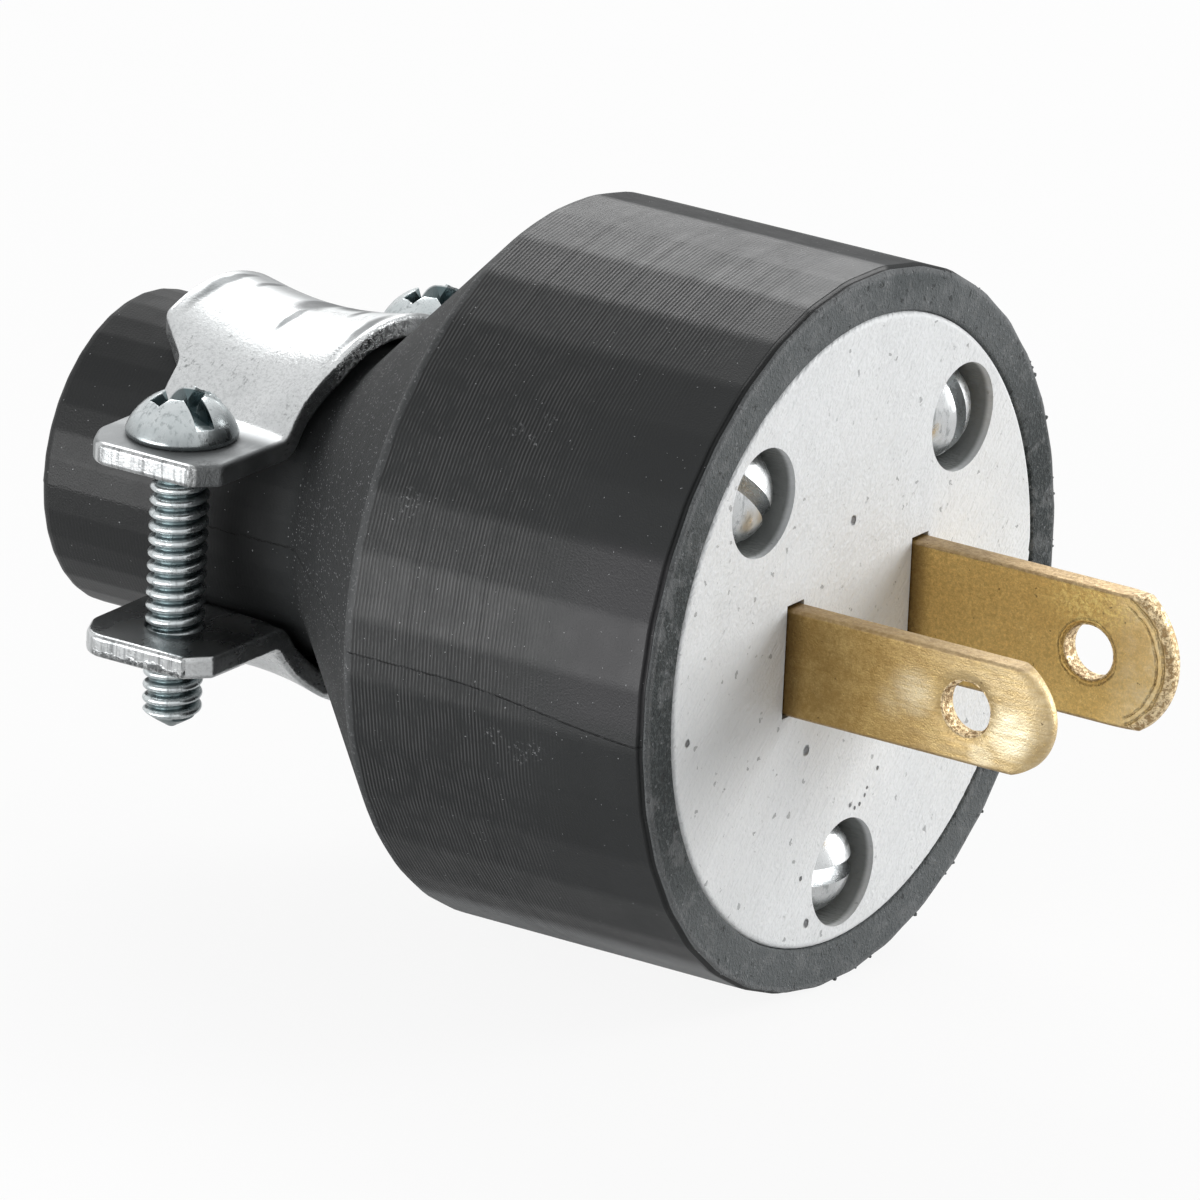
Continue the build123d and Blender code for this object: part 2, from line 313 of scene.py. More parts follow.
def grain_group():
    """Moulded or plated grain: two sizes of noise as one height."""
    tree, nodes, given, result = new_group(
        "Surface Grain",
        [("Vector", "Vector", None), ("Fine Scale", "Float", 8000.0),
         ("Coarse Scale", "Float", 900.0), ("Coarse Share", "Float", 0.5)],
        [("Height", "Float"), ("Blotches", "Float")],
    )
    fine = nodes.noise(given["Vector"], given["Fine Scale"], 1.0, 0.6)
    coarse = nodes.noise(given["Vector"], given["Coarse Scale"], 3.0, 0.6)
    nodes.link(nodes.plus(fine, nodes.times(coarse, given["Coarse Share"])), result["Height"])
    nodes.link(coarse, result["Blotches"])
    return tree


def pit_group():
    """One round pit at a chosen place, with an uneven rim."""
    tree, nodes, given, result = new_group(
        "Round Pit",
        [("Vector", "Vector", None), ("Place", "Vector", (0.0, 0.0, 0.0)), ("Radius", "Float", 0.0003)],
        [("Mask", "Float")],
    )
    offset = nodes.vector_math("SUBTRACT", given["Vector"], given["Place"])[0]
    length = nodes.vector_math("LENGTH", offset)["Value"]
    uneven = nodes.times(nodes.noise(given["Vector"], 5000.0), 0.5)
    share = nodes.plus(nodes.math("DIVIDE", length, given["Radius"]), uneven)
    nodes.link(nodes.spread(share, 0.8, 1.35, 1.0, 0.0), result["Mask"])
    return tree


def distance_group():
    """How far the surface is from a chosen place, with directions stretched or left out."""
    tree, nodes, given, result = new_group(
        "Place Distance",
        [("Vector", "Vector", None), ("Place", "Vector", (0.0, 0.0, 0.0)),
         ("Stretch", "Vector", NOT_STRETCHED)],
        [("Distance", "Float")],
    )
    offset = nodes.vector_math("SUBTRACT", given["Vector"], given["Place"])[0]
    scaled = nodes.vector_math("MULTIPLY", offset, given["Stretch"])[0]
    nodes.link(nodes.vector_math("LENGTH", scaled)["Value"], result["Distance"])
    return tree


def streaks_group():
    """Fine streaks along one direction, as rolled or wiped metal shows."""
    tree, nodes, given, result = new_group(
        "Fine Streaks",
        [("Vector", "Vector", None), ("Stretch", "Vector", (1.0, 10.0, 10.0)), ("Scale", "Float", 700.0)],
        [("Height", "Float")],
    )
    scaled = nodes.vector_math("MULTIPLY", given["Vector"], given["Stretch"])[0]
    nodes.link(nodes.noise(scaled, given["Scale"], 3.0, 0.65), result["Height"])
    return tree


GROUP_MAKERS = {
    "Scattered Specks": specks_group,
    "Surface Grain": grain_group,
    "Round Pit": pit_group,
    "Fine Streaks": streaks_group,
    "Place Distance": distance_group,
}


def shared(name):
    """A shader node group, built the first time it is asked for."""
    tree = bpy.data.node_groups.get(name)
    return tree if tree else GROUP_MAKERS[name]()


def new_material(name):
    """An empty material with its shader and the object coordinates."""
    material = bpy.data.materials.new(name)
    material.use_nodes = True
    tree = material.node_tree
    shader = tree.nodes["Principled BSDF"]
    nodes = Nodes(tree)
    vector = nodes.add("TexCoord").outputs["Object"]
    return material, nodes, shader, vector


# Rubber finish

RIB_CREST_HIGHLIGHT = (0.066, 0.068, 0.070)
RIB_VALLEY_SHADE = (0.004, 0.004, 0.004)
WIPED_RUBBER = (0.040, 0.038, 0.042)
SHOULDER_RUBBER = (0.0125, 0.0135, 0.0140)
RIDGE_PAINTED_HIGHLIGHT = (0.150, 0.156, 0.160)
NECK_PAINTED_SHADE = (0.0052, 0.0058, 0.0062)
UNDERSIDE_PAINTED_REFLECTION = (0.190, 0.196, 0.200)
SEAM_PAINTED_SHADE = (0.002, 0.002, 0.002)
PALE_DUST_AND_PAINTED_GLINTS = (0.40, 0.41, 0.42)
RIM_DARK = (0.019, 0.024, 0.025)
RIM_PALE = (0.060, 0.069, 0.071)
RIM_TOP_AND_BOTTOM_PAINTED_LIGHT = (0.142, 0.153, 0.157)
RIM_WORN = (0.165, 0.172, 0.176)
RIM_POCK = (0.016, 0.017, 0.018)
RIM_OUTSIDE = (0.26, 0.265, 0.27)
RIM_NICK = (0.24, 0.25, 0.26)


def parting_seam(nodes, settings, along, up, behind, jagged):
    """A mask of the mould's parting line, which sinks on the barrel and wanders on the shoulder; its dark
    colour is painted shade of the line's small step.
    """
    bend, start, end = (value * MM for value in settings.parting_line())
    sunk = nodes.spread(along, bend, 0.0, start, end)
    sunk = nodes.times(sunk, nodes.spread(along, -0.0204, -0.0201))
    wander = nodes.times(jagged, nodes.spread(behind, 0.0, 1.0, 0.00012, 0.0006))
    above = nodes.plus(nodes.minus(up, sunk), wander)
    return nodes.times(
        nodes.spread(nodes.absolute(above), 0.00002, 0.00007, 1.0, 0.0),
        nodes.spread(jagged, -0.14, 0.06, 0.25, 0.75),
        nodes.spread(along, -0.0003, -0.0005),
        nodes.spread(along, -0.0420, -0.0380, 0.15, 1.0),
    )


def rim_color(nodes, vector, up, shaken, mottles, pocks):
    """The mottled, worn and nicked rubber of the rim, with painted light making its top and bottom paler."""
    color = nodes.mix(mottles, RIM_DARK, RIM_PALE)
    # Painted light: the rim is paler towards its top and bottom
    high = nodes.spread(nodes.absolute(up), 0.0050, 0.0160)
    color = nodes.tint(color, high, RIM_TOP_AND_BOTTOM_PAINTED_LIGHT, 0.60)
    worn = nodes.spread(nodes.noise(nodes.warp(vector, 900.0, 0.0008), 620.0, 3.0, 0.75), 0.50, 0.64)
    color = nodes.tint(color, worn, RIM_WORN, 0.45)
    color = nodes.tint(color, pocks, RIM_POCK, 0.6)
    outside = nodes.spread(nodes.distance(vector, (0.0, 0.0, 0.0), ROUND_THE_AXIS), 0.02045, 0.02075)
    color = nodes.tint(color, outside, RIM_OUTSIDE, 0.30)
    nicks = nodes.specks(shaken, 2000.0, 0.15, 0.40)
    return nodes.tint(color, nicks, RIM_NICK, 0.5)


def rubber_finish(settings):
    """Dull moulded rubber: tool marks, parting line, stippled shoulder, scuffs, dust and uneven sheen, with
    painted highlights on the rib crests, the shoulder ridge, the shoulder's stipple, the rim's top and bottom
    and the barrel's lowest facets, and painted shade in the rib valleys, along the parting line and on the
    neck.
    """
    material, nodes, shader, vector = new_material("moulded_rubber")
    along, across, up = nodes.split(vector)
    grain = nodes.grain(vector, 9000.0, 420.0, 0.6)
    shoulder = nodes.band(along, -0.0318, -0.0206, 0.0008)
    behind = nodes.spread(along, -0.0212, -0.0200, 1.0, 0.0)
    rim = nodes.spread(along, -0.00035, -0.00022)
    neck = nodes.spread(along, -0.0360, -0.0330, 0.18, 0.0)

    wave = nodes.math("SINE", nodes.times(along, 2.0 * math.pi / (settings.rib_pitch * MM)))
    fade = nodes.spread(along, -0.0120, -0.0035, 1.0, 0.0)
    top_ribs = nodes.times(nodes.spread(up, 0.0165, 0.0190), nodes.spread(along, -0.0030, -0.0008, 1.0, 0.0))
    ribbed = nodes.times(nodes.spread(along, -0.0202, -0.0198), nodes.most(fade, top_ribs))
    broken = nodes.spread(nodes.noise(vector, 900.0, 3.0, 0.6), 0.35, 0.62, 0.25, 1.0)
    marks = nodes.times(wave, nodes.most(ribbed, neck), broken)

    shaken = nodes.warp(vector, 3000.0, 0.0003)
    dust = nodes.specks(shaken, 2900.0, 0.10, 0.24)
    # The shoulder's glints are painted highlights; the dust and the scuffs are real marks
    glints = nodes.times(nodes.specks(vector, 4400.0, 0.20, 0.62), shoulder)
    specks = nodes.most(nodes.times(dust, 0.62), nodes.times(glints, 0.62))
    torn = nodes.spread(nodes.noise(vector, 3800.0, 2.0, 0.7), 0.55, 0.70)
    for x, angle, radius in settings.scuffs():
        y = settings.barrel_radius * math.cos(math.radians(angle))
        z = settings.barrel_radius * math.sin(math.radians(angle))
        specks = nodes.most(specks, nodes.times(nodes.pit(vector, (x, y, z), radius), torn, 0.4))

    jagged = nodes.minus(nodes.noise(vector, 1700.0, 3.0, 0.7), 0.5)
    seam = parting_seam(nodes, settings, along, up, behind, jagged)
    mottles = nodes.spread(nodes.noise(vector, 3600.0, 2.0, 0.8), 0.42, 0.68)
    pocks = nodes.spread(nodes.noise(vector, 1500.0, 3.0, 0.6), 0.30, 0.40, 1.0, 0.0)
    wiped = nodes.times(
        nodes.spread(across, -0.004, -0.002, 1.0, 0.0), nodes.spread(along, -0.0085, -0.0030),
        nodes.band(up, 0.0, 0.0085, 0.0012), nodes.flip(rim),
    )
    # Painted highlight along the edge where the barrel meets the shoulder, broken up by noise
    ridge = nodes.times(nodes.band(along, -0.0205, -0.0200, 0.00012), nodes.spread(torn, 0.0, 1.0, 0.35, 1.0))
    # Painted reflection of the bright floor: a paler strip on the barrel's lowest facets
    under = nodes.times(
        nodes.spread(up, -0.0172, -0.0160, 1.0, 0.0),
        nodes.band(along, -0.0202, -0.0010, 0.0003),
    )

    color = nodes.mix(nodes.noise(vector, 160.0, 3.0, 0.55), settings.dark_color, settings.light_color)
    color = nodes.tint(color, wiped, WIPED_RUBBER, 0.50)
    # Painted highlight on the rib crests and painted shade in the rib valleys, over the ribs' real relief
    color = nodes.tint(color, nodes.spread(marks, 0.0, 1.0, 0.0, 0.72), RIB_CREST_HIGHLIGHT)
    color = nodes.tint(color, nodes.spread(marks, -1.0, 0.0, 0.88, 0.0), RIB_VALLEY_SHADE)
    color = nodes.tint(color, shoulder, SHOULDER_RUBBER, 0.70)
    color = nodes.tint(color, ridge, RIDGE_PAINTED_HIGHLIGHT, 0.60)
    # Painted shade: the neck behind x = -35 mm is made darker
    color = nodes.tint(color, nodes.spread(along, -0.0350, -0.0325, 0.75, 0.0), NECK_PAINTED_SHADE)
    color = nodes.tint(color, under, UNDERSIDE_PAINTED_REFLECTION, 0.8)
    color = nodes.tint(color, rim, rim_color(nodes, vector, up, shaken, mottles, pocks))
    # Painted shade along the parting line's small step
    color = nodes.tint(color, seam, SEAM_PAINTED_SHADE)
    color = nodes.tint(color, specks, PALE_DUST_AND_PAINTED_GLINTS)

    dull = nodes.most(nodes.band(along, -0.0385, -0.0206, 0.0008), rim)
    top_facet = nodes.times(nodes.spread(across, 0.0019, 0.0025), nodes.spread(up, 0.0185, 0.0195))
    neck_top = nodes.times(nodes.spread(along, -0.0420, -0.0410, 1.0, 0.0), nodes.spread(up, 0.0040, 0.0070))
    rough = nodes.spread(grain["Blotches"], 0.3, 0.7, 0.37, 0.43)
    rough = nodes.plus(
        rough,
        nodes.times(dull, 0.30),
        nodes.times(top_facet, 0.36),
        nodes.times(neck_top, 0.25),
    )

    stipple = nodes.noise(vector, 4200.0, 2.0, 0.7)
    height = nodes.plus(
        grain["Height"], nodes.times(stipple, shoulder, 6.0), nodes.times(wave, neck, 0.7),
        nodes.times(mottles, rim, 3.5),
    )
    height = nodes.minus(height, nodes.times(pocks, rim, 4.0), nodes.times(seam, 6.0))
    shader.inputs["Specular IOR Level"].default_value = 0.28
    nodes.feed(shader, {"Base Color": color, "Roughness": rough, "Normal": nodes.bump(height, 0.000014)})
    return material


# Cover finish

COVER_PIT = (0.13, 0.135, 0.14)
WELL_PAINTED_SHADE = (0.23, 0.24, 0.235)
SCRATCH_TURN = math.radians(-40.0)


def cover_finish(settings):
    """Off-white moulded face with pits, specks and faint scratches, and painted shade on what is set back
    behind the face, such as the wells.
    """
    material, nodes, shader, vector = new_material("speckled_nylon")
    depth = nodes.split(vector)[0]
    grain = nodes.grain(vector, 3800.0, 300.0, 1.4)
    uneven = nodes.warp(vector, 2600.0, 0.0006)
    pits = 0.0
    for cells, size, share, strength in settings.speck_layers():
        pits = nodes.most(pits, nodes.times(nodes.specks(uneven, cells, size, share), strength))
    for y, z, radius in settings.pits():
        pits = nodes.most(pits, nodes.pit(vector, (0.0, y, z), radius))
    turned = nodes.add("Mapping")
    nodes.feed(turned, {"Vector": vector, "Rotation": (SCRATCH_TURN, 0.0, 0.0)})
    scratch = nodes.streaks(turned.outputs[0], (1.0, 1.4, 9.0), 300.0)
    color = nodes.mix(nodes.noise(vector, 150.0, 4.0, 0.6), settings.shade_color, settings.face_color)
    color = nodes.tint(color, pits, COVER_PIT)
    # Painted shade: grey on everything set back behind the face, such as the wells
    color = nodes.tint(color, nodes.spread(depth, -0.0006, -0.0002, 1.0, 0.0), WELL_PAINTED_SHADE)
    height = nodes.plus(nodes.minus(grain["Height"], nodes.times(pits, 6.0)), nodes.times(scratch, 3.6))
    nodes.feed(shader, {
        "Base Color": color,
        "Roughness": nodes.spread(grain["Blotches"], 0.3, 0.7, 0.36, 0.52),
        "Normal": nodes.bump(height, 0.000048),
    })
    return material


# Brass finish

FAR_BLADE_PAINTED_LIGHT = (0.98, 0.70, 0.26)
FRECKLE_BROWN = (0.27, 0.155, 0.045)
LINE_BROWN = (0.13, 0.075, 0.026)
FOOT_PAINTED_SHADE = (0.11, 0.062, 0.020)
GRAIN_BRIGHT = (0.95, 0.70, 0.28)
SPARKLE_GOLD = (1.0, 0.80, 0.32)
EDGE_BROWN = (0.28, 0.195, 0.110)
EDGE_PALE = (0.46, 0.345, 0.21)
GRANULE_BROWN = (0.30, 0.195, 0.095)
GRANULE_PALE = (0.92, 0.76, 0.50)
DIRT_BROWN = (0.08, 0.045, 0.02)
RUBBED_PLACE = (12.0, 0.0, 2.8)
TIP_LINES = ((0.00064, 0.00068), (0.00102, 0.00104))
HOLE_RINGS = ((0.00192, 0.00194), (0.00170, 0.00172))


def brass_finish(settings):
    """Blanked sheet brass with pale rolled edges: brown from painted shade towards the cover, bright from
    painted highlights at the tips.
    """
    material, nodes, shader, vector = new_material("worn_brass_painted_light")
    along, across, up = nodes.split(vector)
    grain = nodes.grain(vector, 9000.0, 2600.0, 0.8)
    streaks = nodes.streaks(vector, (1.0, 5.0, 9.0), 420.0)
    cloud = nodes.noise(vector, 420.0, 4.0, 0.75)
    near_blade = nodes.spread(across, -0.002, 0.002, 1.0, 0.0)
    far_blade = nodes.flip(near_blade)
    mottled = nodes.spread(nodes.noise(vector, 3600.0, 4.0, 0.7), 0.34, 0.66)

    tarnish = nodes.spread(nodes.minus(cloud, nodes.spread(along, 0.002, 0.015, -0.05, 0.05)), 0.34, 0.68)
    freckles = nodes.spread(nodes.noise(vector, 3400.0, 4.0, 0.8), 0.40, 0.62)
    specked = nodes.spread(nodes.noise(vector, 8000.0, 3.0, 0.8), 0.42, 0.60)
    freckles = nodes.most(freckles, nodes.times(specked, 0.8))
    # Painted highlight on the narrow blade, growing towards its tip and strongest in the listed patches
    pale = nodes.spread(along, 0.0050, 0.0170, 0.0, 0.35)
    for x, z, radius, strength in settings.highlight_patches():
        from_patch = nodes.distance(vector, (x, 0.0, z), SEEN_FROM_SIDE)
        pale = nodes.most(pale, nodes.spread(from_patch, 0.2 * radius * MM, radius * MM, strength, 0.0))
    pale = nodes.times(pale, near_blade, nodes.spread(streaks, 0.35, 0.65, 0.50, 1.0))
    # Painted highlight on the wide blade's tip
    far_tip_highlight = nodes.times(
        nodes.spread(along, 0.0120, 0.0170),
        far_blade,
        nodes.spread(cloud, 0.35, 0.65, 0.60, 0.20),
    )

    tip_centre = (settings.blade_length - settings.wide_tip, 0.0, 0.0)
    from_tip = nodes.minus(settings.wide_tip * MM, nodes.distance(vector, tip_centre, SEEN_FROM_SIDE))
    from_hole = nodes.distance(vector, (settings.hole_place, 0.0, 0.0), SEEN_FROM_SIDE)
    ragged = nodes.minus(cloud, 0.5)
    wander = nodes.times(ragged, 0.0005)
    on_tip = nodes.spread(along, 0.0143, 0.0147)
    tip_lines = [nodes.band(nodes.plus(from_tip, wander), *span, 0.00008) for span in TIP_LINES]
    rings = [nodes.band(nodes.plus(from_hole, wander), *span, 0.00009) for span in HOLE_RINGS]
    tip_lines = nodes.times(nodes.most(*tip_lines), on_tip)
    lines = nodes.times(nodes.most(tip_lines, nodes.most(*rings)), far_blade)

    zone = nodes.spread(nodes.noise(vector, 300.0, 2.0, 0.5), 0.42, 0.60)
    rubbed = nodes.spread(nodes.distance(vector, RUBBED_PLACE, (0.45, 0.0, 1.0)), 0.0004, 0.0018, 1.0, 0.0)
    bright = nodes.times(
        nodes.spread(nodes.noise(vector, 4200.0, 3.0, 0.75), 0.56, 0.70),
        nodes.most(zone, nodes.times(rubbed, far_blade)),
        nodes.spread(along, 0.004, 0.010), nodes.spread(near_blade, 0.0, 1.0, 1.0, 0.4),
    )
    sparkle = nodes.times(rubbed, far_blade, nodes.spread(mottled, 0.35, 0.80))
    edge_width = nodes.minus(nodes.absolute(up), nodes.spread(near_blade, 0.0, 1.0, 0.00372, 0.00293))
    edge = nodes.spread(nodes.plus(edge_width, nodes.times(ragged, 0.0002)), 0.0, 0.00012)
    edge = nodes.times(edge, nodes.spread(along, 0.0, 0.0004))
    edge_color = nodes.mix(mottled, EDGE_BROWN, EDGE_PALE)
    rolled = nodes.times(nodes.spread(from_tip, 0.00045, 0.00060, 1.0, 0.0), on_tip, far_blade)
    in_hole = nodes.spread(from_hole, 0.00163, 0.00172, 1.0, 0.0)
    rough_zone = nodes.most(in_hole, nodes.times(rolled, 0.85))
    granules = nodes.spread(nodes.noise(vector, 3300.0, 3.0, 0.8), 0.40, 0.60)
    dirt = nodes.specks(nodes.warp(vector, 3000.0, 0.0004), 2000.0, 0.13, 0.22)

    color = nodes.mix(tarnish, settings.bright_color, settings.dull_color)
    # Painted light: the far, wide blade is made brighter than the near, narrow one
    color = nodes.tint(color, nodes.spread(near_blade, 0.0, 1.0, 0.68, 0.0), FAR_BLADE_PAINTED_LIGHT)
    color = nodes.tint(color, freckles, FRECKLE_BROWN, 0.42)
    color = nodes.tint(color, nodes.most(pale, far_tip_highlight), settings.tip_highlight_color)
    color = nodes.tint(color, nodes.times(lines, nodes.spread(freckles, 0.0, 1.0, 0.15, 0.65)), LINE_BROWN)
    # Painted shade at the blade's foot, fading out 1.6 mm from the cover
    color = nodes.tint(color, nodes.spread(along, 0.0001, 0.0016, 0.75, 0.0), FOOT_PAINTED_SHADE)
    color = nodes.tint(color, bright, GRAIN_BRIGHT)
    color = nodes.tint(color, sparkle, SPARKLE_GOLD, 0.85)
    color = nodes.tint(color, nodes.times(edge, nodes.spread(near_blade, 0.0, 1.0, 0.85, 0.60)), edge_color)
    color = nodes.tint(color, rough_zone, nodes.mix(granules, GRANULE_BROWN, GRANULE_PALE))
    color = nodes.tint(color, dirt, DIRT_BROWN, 0.6)

    rough = nodes.spread(nodes.plus(grain["Height"], streaks), 0.8, 1.6, 0.34, 0.56)
    rough = nodes.minus(rough, nodes.times(nodes.most(bright, sparkle), 0.12))
    height = nodes.minus(nodes.plus(grain["Height"], nodes.times(streaks, 0.7)), dirt)
    height = nodes.minus(nodes.plus(height, bright), nodes.times(lines, 2.5))
    height = nodes.plus(height, nodes.times(granules, rough_zone, 1.6))
    nodes.feed(shader, {
        "Base Color": color, "Metallic": 1.0, "Roughness": rough, "Normal": nodes.bump(height, 0.000032),
    })
    return material


# Plated steel finishes

DARK_WEAR_AND_PAINTED_SHADE = (0.050, 0.055, 0.057)
HEAD_SHADE = (0.06, 0.070, 0.073)
TEAL_HOLLOW_SHADE = (0.045, 0.084, 0.092)
SCUFF_GREY = (0.14, 0.160, 0.165)


def torn_edges(nodes, vector, along, reach, up, end_face):
    """A mask of the sheared steel's torn lower edge, and of the worn crest and corner."""
    ragged = nodes.times(nodes.minus(nodes.noise(vector, 900.0, 3.0, 0.7), 0.5), 0.0011)
    torn = nodes.times(
        end_face, nodes.spread(up, -0.0052, -0.0050, 1.0, 0.0),
        nodes.spread(nodes.plus(nodes.absolute(up), ragged), 0.00585, 0.00600),
    )
    crest = nodes.times(nodes.spread(along, -0.03235, -0.03215), nodes.spread(up, 0.0080, 0.0090))
    corner = nodes.times(
        nodes.spread(along, -0.0345, -0.0341), nodes.spread(reach, 0.0152, 0.0156),
        nodes.spread(up, 0.0, 0.001),
    )
    return nodes.most(torn, nodes.most(nodes.times(crest, 0.6), nodes.times(corner, 0.6)))


def sheet_zinc_finish(settings):
    """Plated clamp sheet: rolling streaks and sheared ends, with painted crease shade on the arch, painted
    shade on the upper ear's top, a painted dark reflection on the lower ear's top and a darker far half of
    the arch.
    """
    material, nodes, shader, vector = new_material("sheet_zinc")
    along, across, up = nodes.split(vector)
    reach = nodes.absolute(across)
    grain = nodes.grain(vector, 6000.0, 1500.0, 0.7)
    streaks = nodes.streaks(vector, (5.0, 1.0, 5.0), 800.0)
    shear = nodes.streaks(vector, (8.0, 8.0, 0.7), 520.0)
    cloud = nodes.spread(nodes.noise(vector, 260.0, 3.0, 0.5), 0.35, 0.65)

    scuffs = nodes.times(
        nodes.spread(streaks, 0.56, 0.68),
        nodes.spread(nodes.noise(vector, 420.0, 3.0, 0.6), 0.46, 0.60),
    )
    salt = nodes.spread(nodes.noise(vector, 5200.0, 3.0, 0.8), 0.36, 0.56, 0.20, 0.0)
    dark = nodes.plus(nodes.times(scuffs, 0.45), salt)
    uneven = nodes.warp(vector, 500.0, 0.0006)
    # Painted crease shade: soft dark spots on the arch
    for x, y, z, radius, stretch in settings.crease_shades():
        from_crease = nodes.distance(uneven, (x, y, z), stretch)
        dark = nodes.most(dark, nodes.spread(from_crease, 0.50 * radius * MM, 1.35 * radius * MM, 0.96, 0.0))
    ear_face = nodes.times(
        nodes.spread(reach, 0.0085, 0.0115),
        nodes.spread(reach, 0.01660, 0.01680, 1.0, 0.0),
    )
    ear_shade = nodes.spread(along, -0.0425, -0.0355, 0.66, 0.82)
    upper_ear = nodes.times(ear_face, nodes.spread(up, 0.0, 0.001))
    lower_ear = nodes.times(ear_face, nodes.band(up, -0.00508, -0.0045, 0.00004))
    far_side = nodes.times(
        nodes.spread(across, 0.0, 0.0030, 0.0, 0.72),
        nodes.spread(reach, 0.009, 0.011, 1.0, 0.0),
    )
    end_face = nodes.spread(reach, 0.01680, 0.01690)
    torn = torn_edges(nodes, vector, along, reach, up, end_face)
    pits = nodes.spread(nodes.noise(vector, 2600.0, 4.0, 0.8), 0.44, 0.56)
    # Painted shade on the upper ear's top and a painted dark reflection on the lower ear's top; the torn
    # edges and shear marks are real
    dark = nodes.most(
        dark, nodes.times(upper_ear, ear_shade), far_side,
        nodes.times(lower_ear, 0.55), nodes.times(torn, pits, 0.9),
        nodes.times(end_face, nodes.spread(shear, 0.42, 0.66, 0.36, 0.76)),
    )
    color = nodes.mix(nodes.times(cloud, 0.5), settings.plate_light, settings.plate_dark)
    height = nodes.plus(
        grain["Height"], nodes.times(streaks, 0.6),
        nodes.times(shear, end_face, 2.5), nodes.times(torn, pits, 5.0),
    )
    rough = nodes.spread(nodes.plus(cloud, streaks), 0.4, 1.5, 0.22, 0.34)
    nodes.feed(shader, {
        "Base Color": nodes.tint(color, dark, DARK_WEAR_AND_PAINTED_SHADE),
        "Metallic": 1.0,
        "Roughness": nodes.plus(rough, nodes.times(nodes.most(upper_ear, far_side), 0.30)),
        "Normal": nodes.bump(height, 0.000010),
    })
    return material


def recess_mask(nodes, settings, folded, up, streaks):
    """1 inside a clamp screw's slot and cross, less at the slot's open end: where the recess gets its painted
    shade.
    """
    ball = settings.ball_radius()
    top = settings.seat_height + settings.head_height
    dome_centre = (settings.screw_x, settings.screw_offset, top - ball)
    inside = nodes.times(
        nodes.spread(nodes.distance(folded, dome_centre), (ball - 0.10) * MM, (ball - 0.04) * MM, 1.0, 0.0),
        nodes.spread(up, 0.0069, 0.0071),
    )
    turn = math.radians(settings.slot_angle)
    mouth = (
        settings.screw_x + settings.slot_mouth * math.cos(turn),
        settings.screw_offset - settings.slot_mouth * math.sin(turn),
        top - settings.slot_depth,
    )
    off_mouth = nodes.spread(nodes.distance(folded, mouth, (0.75, 0.75, 1.6)), 0.00055, 0.00070)
    return nodes.times(inside, nodes.most(off_mouth, nodes.spread(streaks, 0.40, 0.60, 0.0, 0.35)))


def screw_zinc_finish(settings, name, light, dark):
    """Plated steel with painted shade in the valleys of the thread, in the head's recess, on the head's right
    flank and round its skirt.
    """
    material, nodes, shader, vector = new_material(name)
    along, across, up = nodes.split(vector)
    both_sides = nodes.add("CombineXYZ")
    nodes.feed(both_sides, {"X": along, "Y": nodes.absolute(across), "Z": up})
    folded = both_sides.outputs[0]
    grain = nodes.grain(vector, 6000.0, 900.0, 0.6)
    streaks = nodes.streaks(vector, (4.0, 4.0, 1.0), 900.0)
    cloud = nodes.spread(grain["Blotches"], 0.32, 0.68)

    from_axis = nodes.distance(folded, (settings.screw_x, settings.screw_offset, 0.0), (1.0, 1.0, 0.0))
    valley = nodes.times(
        nodes.spread(from_axis, settings.root_radius * MM, settings.thread_radius * MM * 0.97, 1.0, 0.0),
        nodes.spread(up, 0.0060, 0.0064, 1.0, 0.0),
    )
    flank = (settings.screw_x + 2.95, settings.screw_offset - 0.25, settings.seat_height + 0.8)
    shadow = nodes.spread(nodes.distance(folded, flank), 0.0004, 0.0024, 0.75, 0.0)
    seat = settings.seat_height * MM
    skirt = nodes.times(
        nodes.spread(up, seat, seat + 0.0001), nodes.spread(up, seat, seat + 0.0015, 0.60, 0.10),
        nodes.spread(along, -0.030, -0.028, 1.0, 0.0),
    )
    # Painted shade in the thread's valleys and the head's recess, tinted teal like the plating
    hollow_shade = nodes.most(valley, recess_mask(nodes, settings, folded, up, streaks))

    color = nodes.mix(nodes.times(cloud, 0.5), light, dark)
    # Painted shade on the head's right flank and round its skirt
    color = nodes.tint(color, nodes.most(shadow, skirt), HEAD_SHADE)
    color = nodes.tint(color, hollow_shade, TEAL_HOLLOW_SHADE, 0.85)
    color = nodes.tint(color, nodes.spread(streaks, 0.50, 0.68, 0.0, 0.45), SCUFF_GREY)
    nodes.feed(shader, {
        "Base Color": color,
        "Metallic": 1.0,
        "Roughness": nodes.spread(nodes.plus(cloud, streaks), 0.4, 1.5, 0.22, 0.34),
        "Normal": nodes.bump(nodes.plus(grain["Height"], nodes.times(streaks, 0.6)), 0.000008),
    })
    return material


def plain_nylon_finish(name, color):
    """Black moulded nylon for the pieces inside."""
    material, nodes, shader, vector = new_material(name)
    grain = nodes.grain(vector, 8000.0, 900.0, 0.5)
    darker = tuple(0.7 * value for value in color)
    nodes.feed(shader, {
        "Base Color": nodes.mix(grain["Blotches"], darker, color),
        "Roughness": nodes.spread(grain["Blotches"], 0.3, 0.7, 0.40, 0.55),
        "Normal": nodes.bump(grain["Height"], 0.00002),
    })
    return material


# Rubber shell

PARTING_SIDES = (180.0, 360.0)
SEAM_GAP = 0.12
SEAM_REACH = 4.3
TOP_RIBS = 105.0
BARE_FACET = 72.0
FLASH_COUNT = 26
FLASH_SIZE = 0.13
FLASH_WIDTH = 0.10


def parting_angle(settings, x, side):
    """Where the mould's parting line runs on the barrel, in degrees past the side."""
    bend, start, end = settings.parting_line()
    z = start + (end - start) * smooth_step(x, bend, 0.0)
    drop = np.degrees(np.arcsin(-z / settings.barrel_radius))
    return np.where(x > settings.barrel_back - 0.3, drop, 0.0) * side


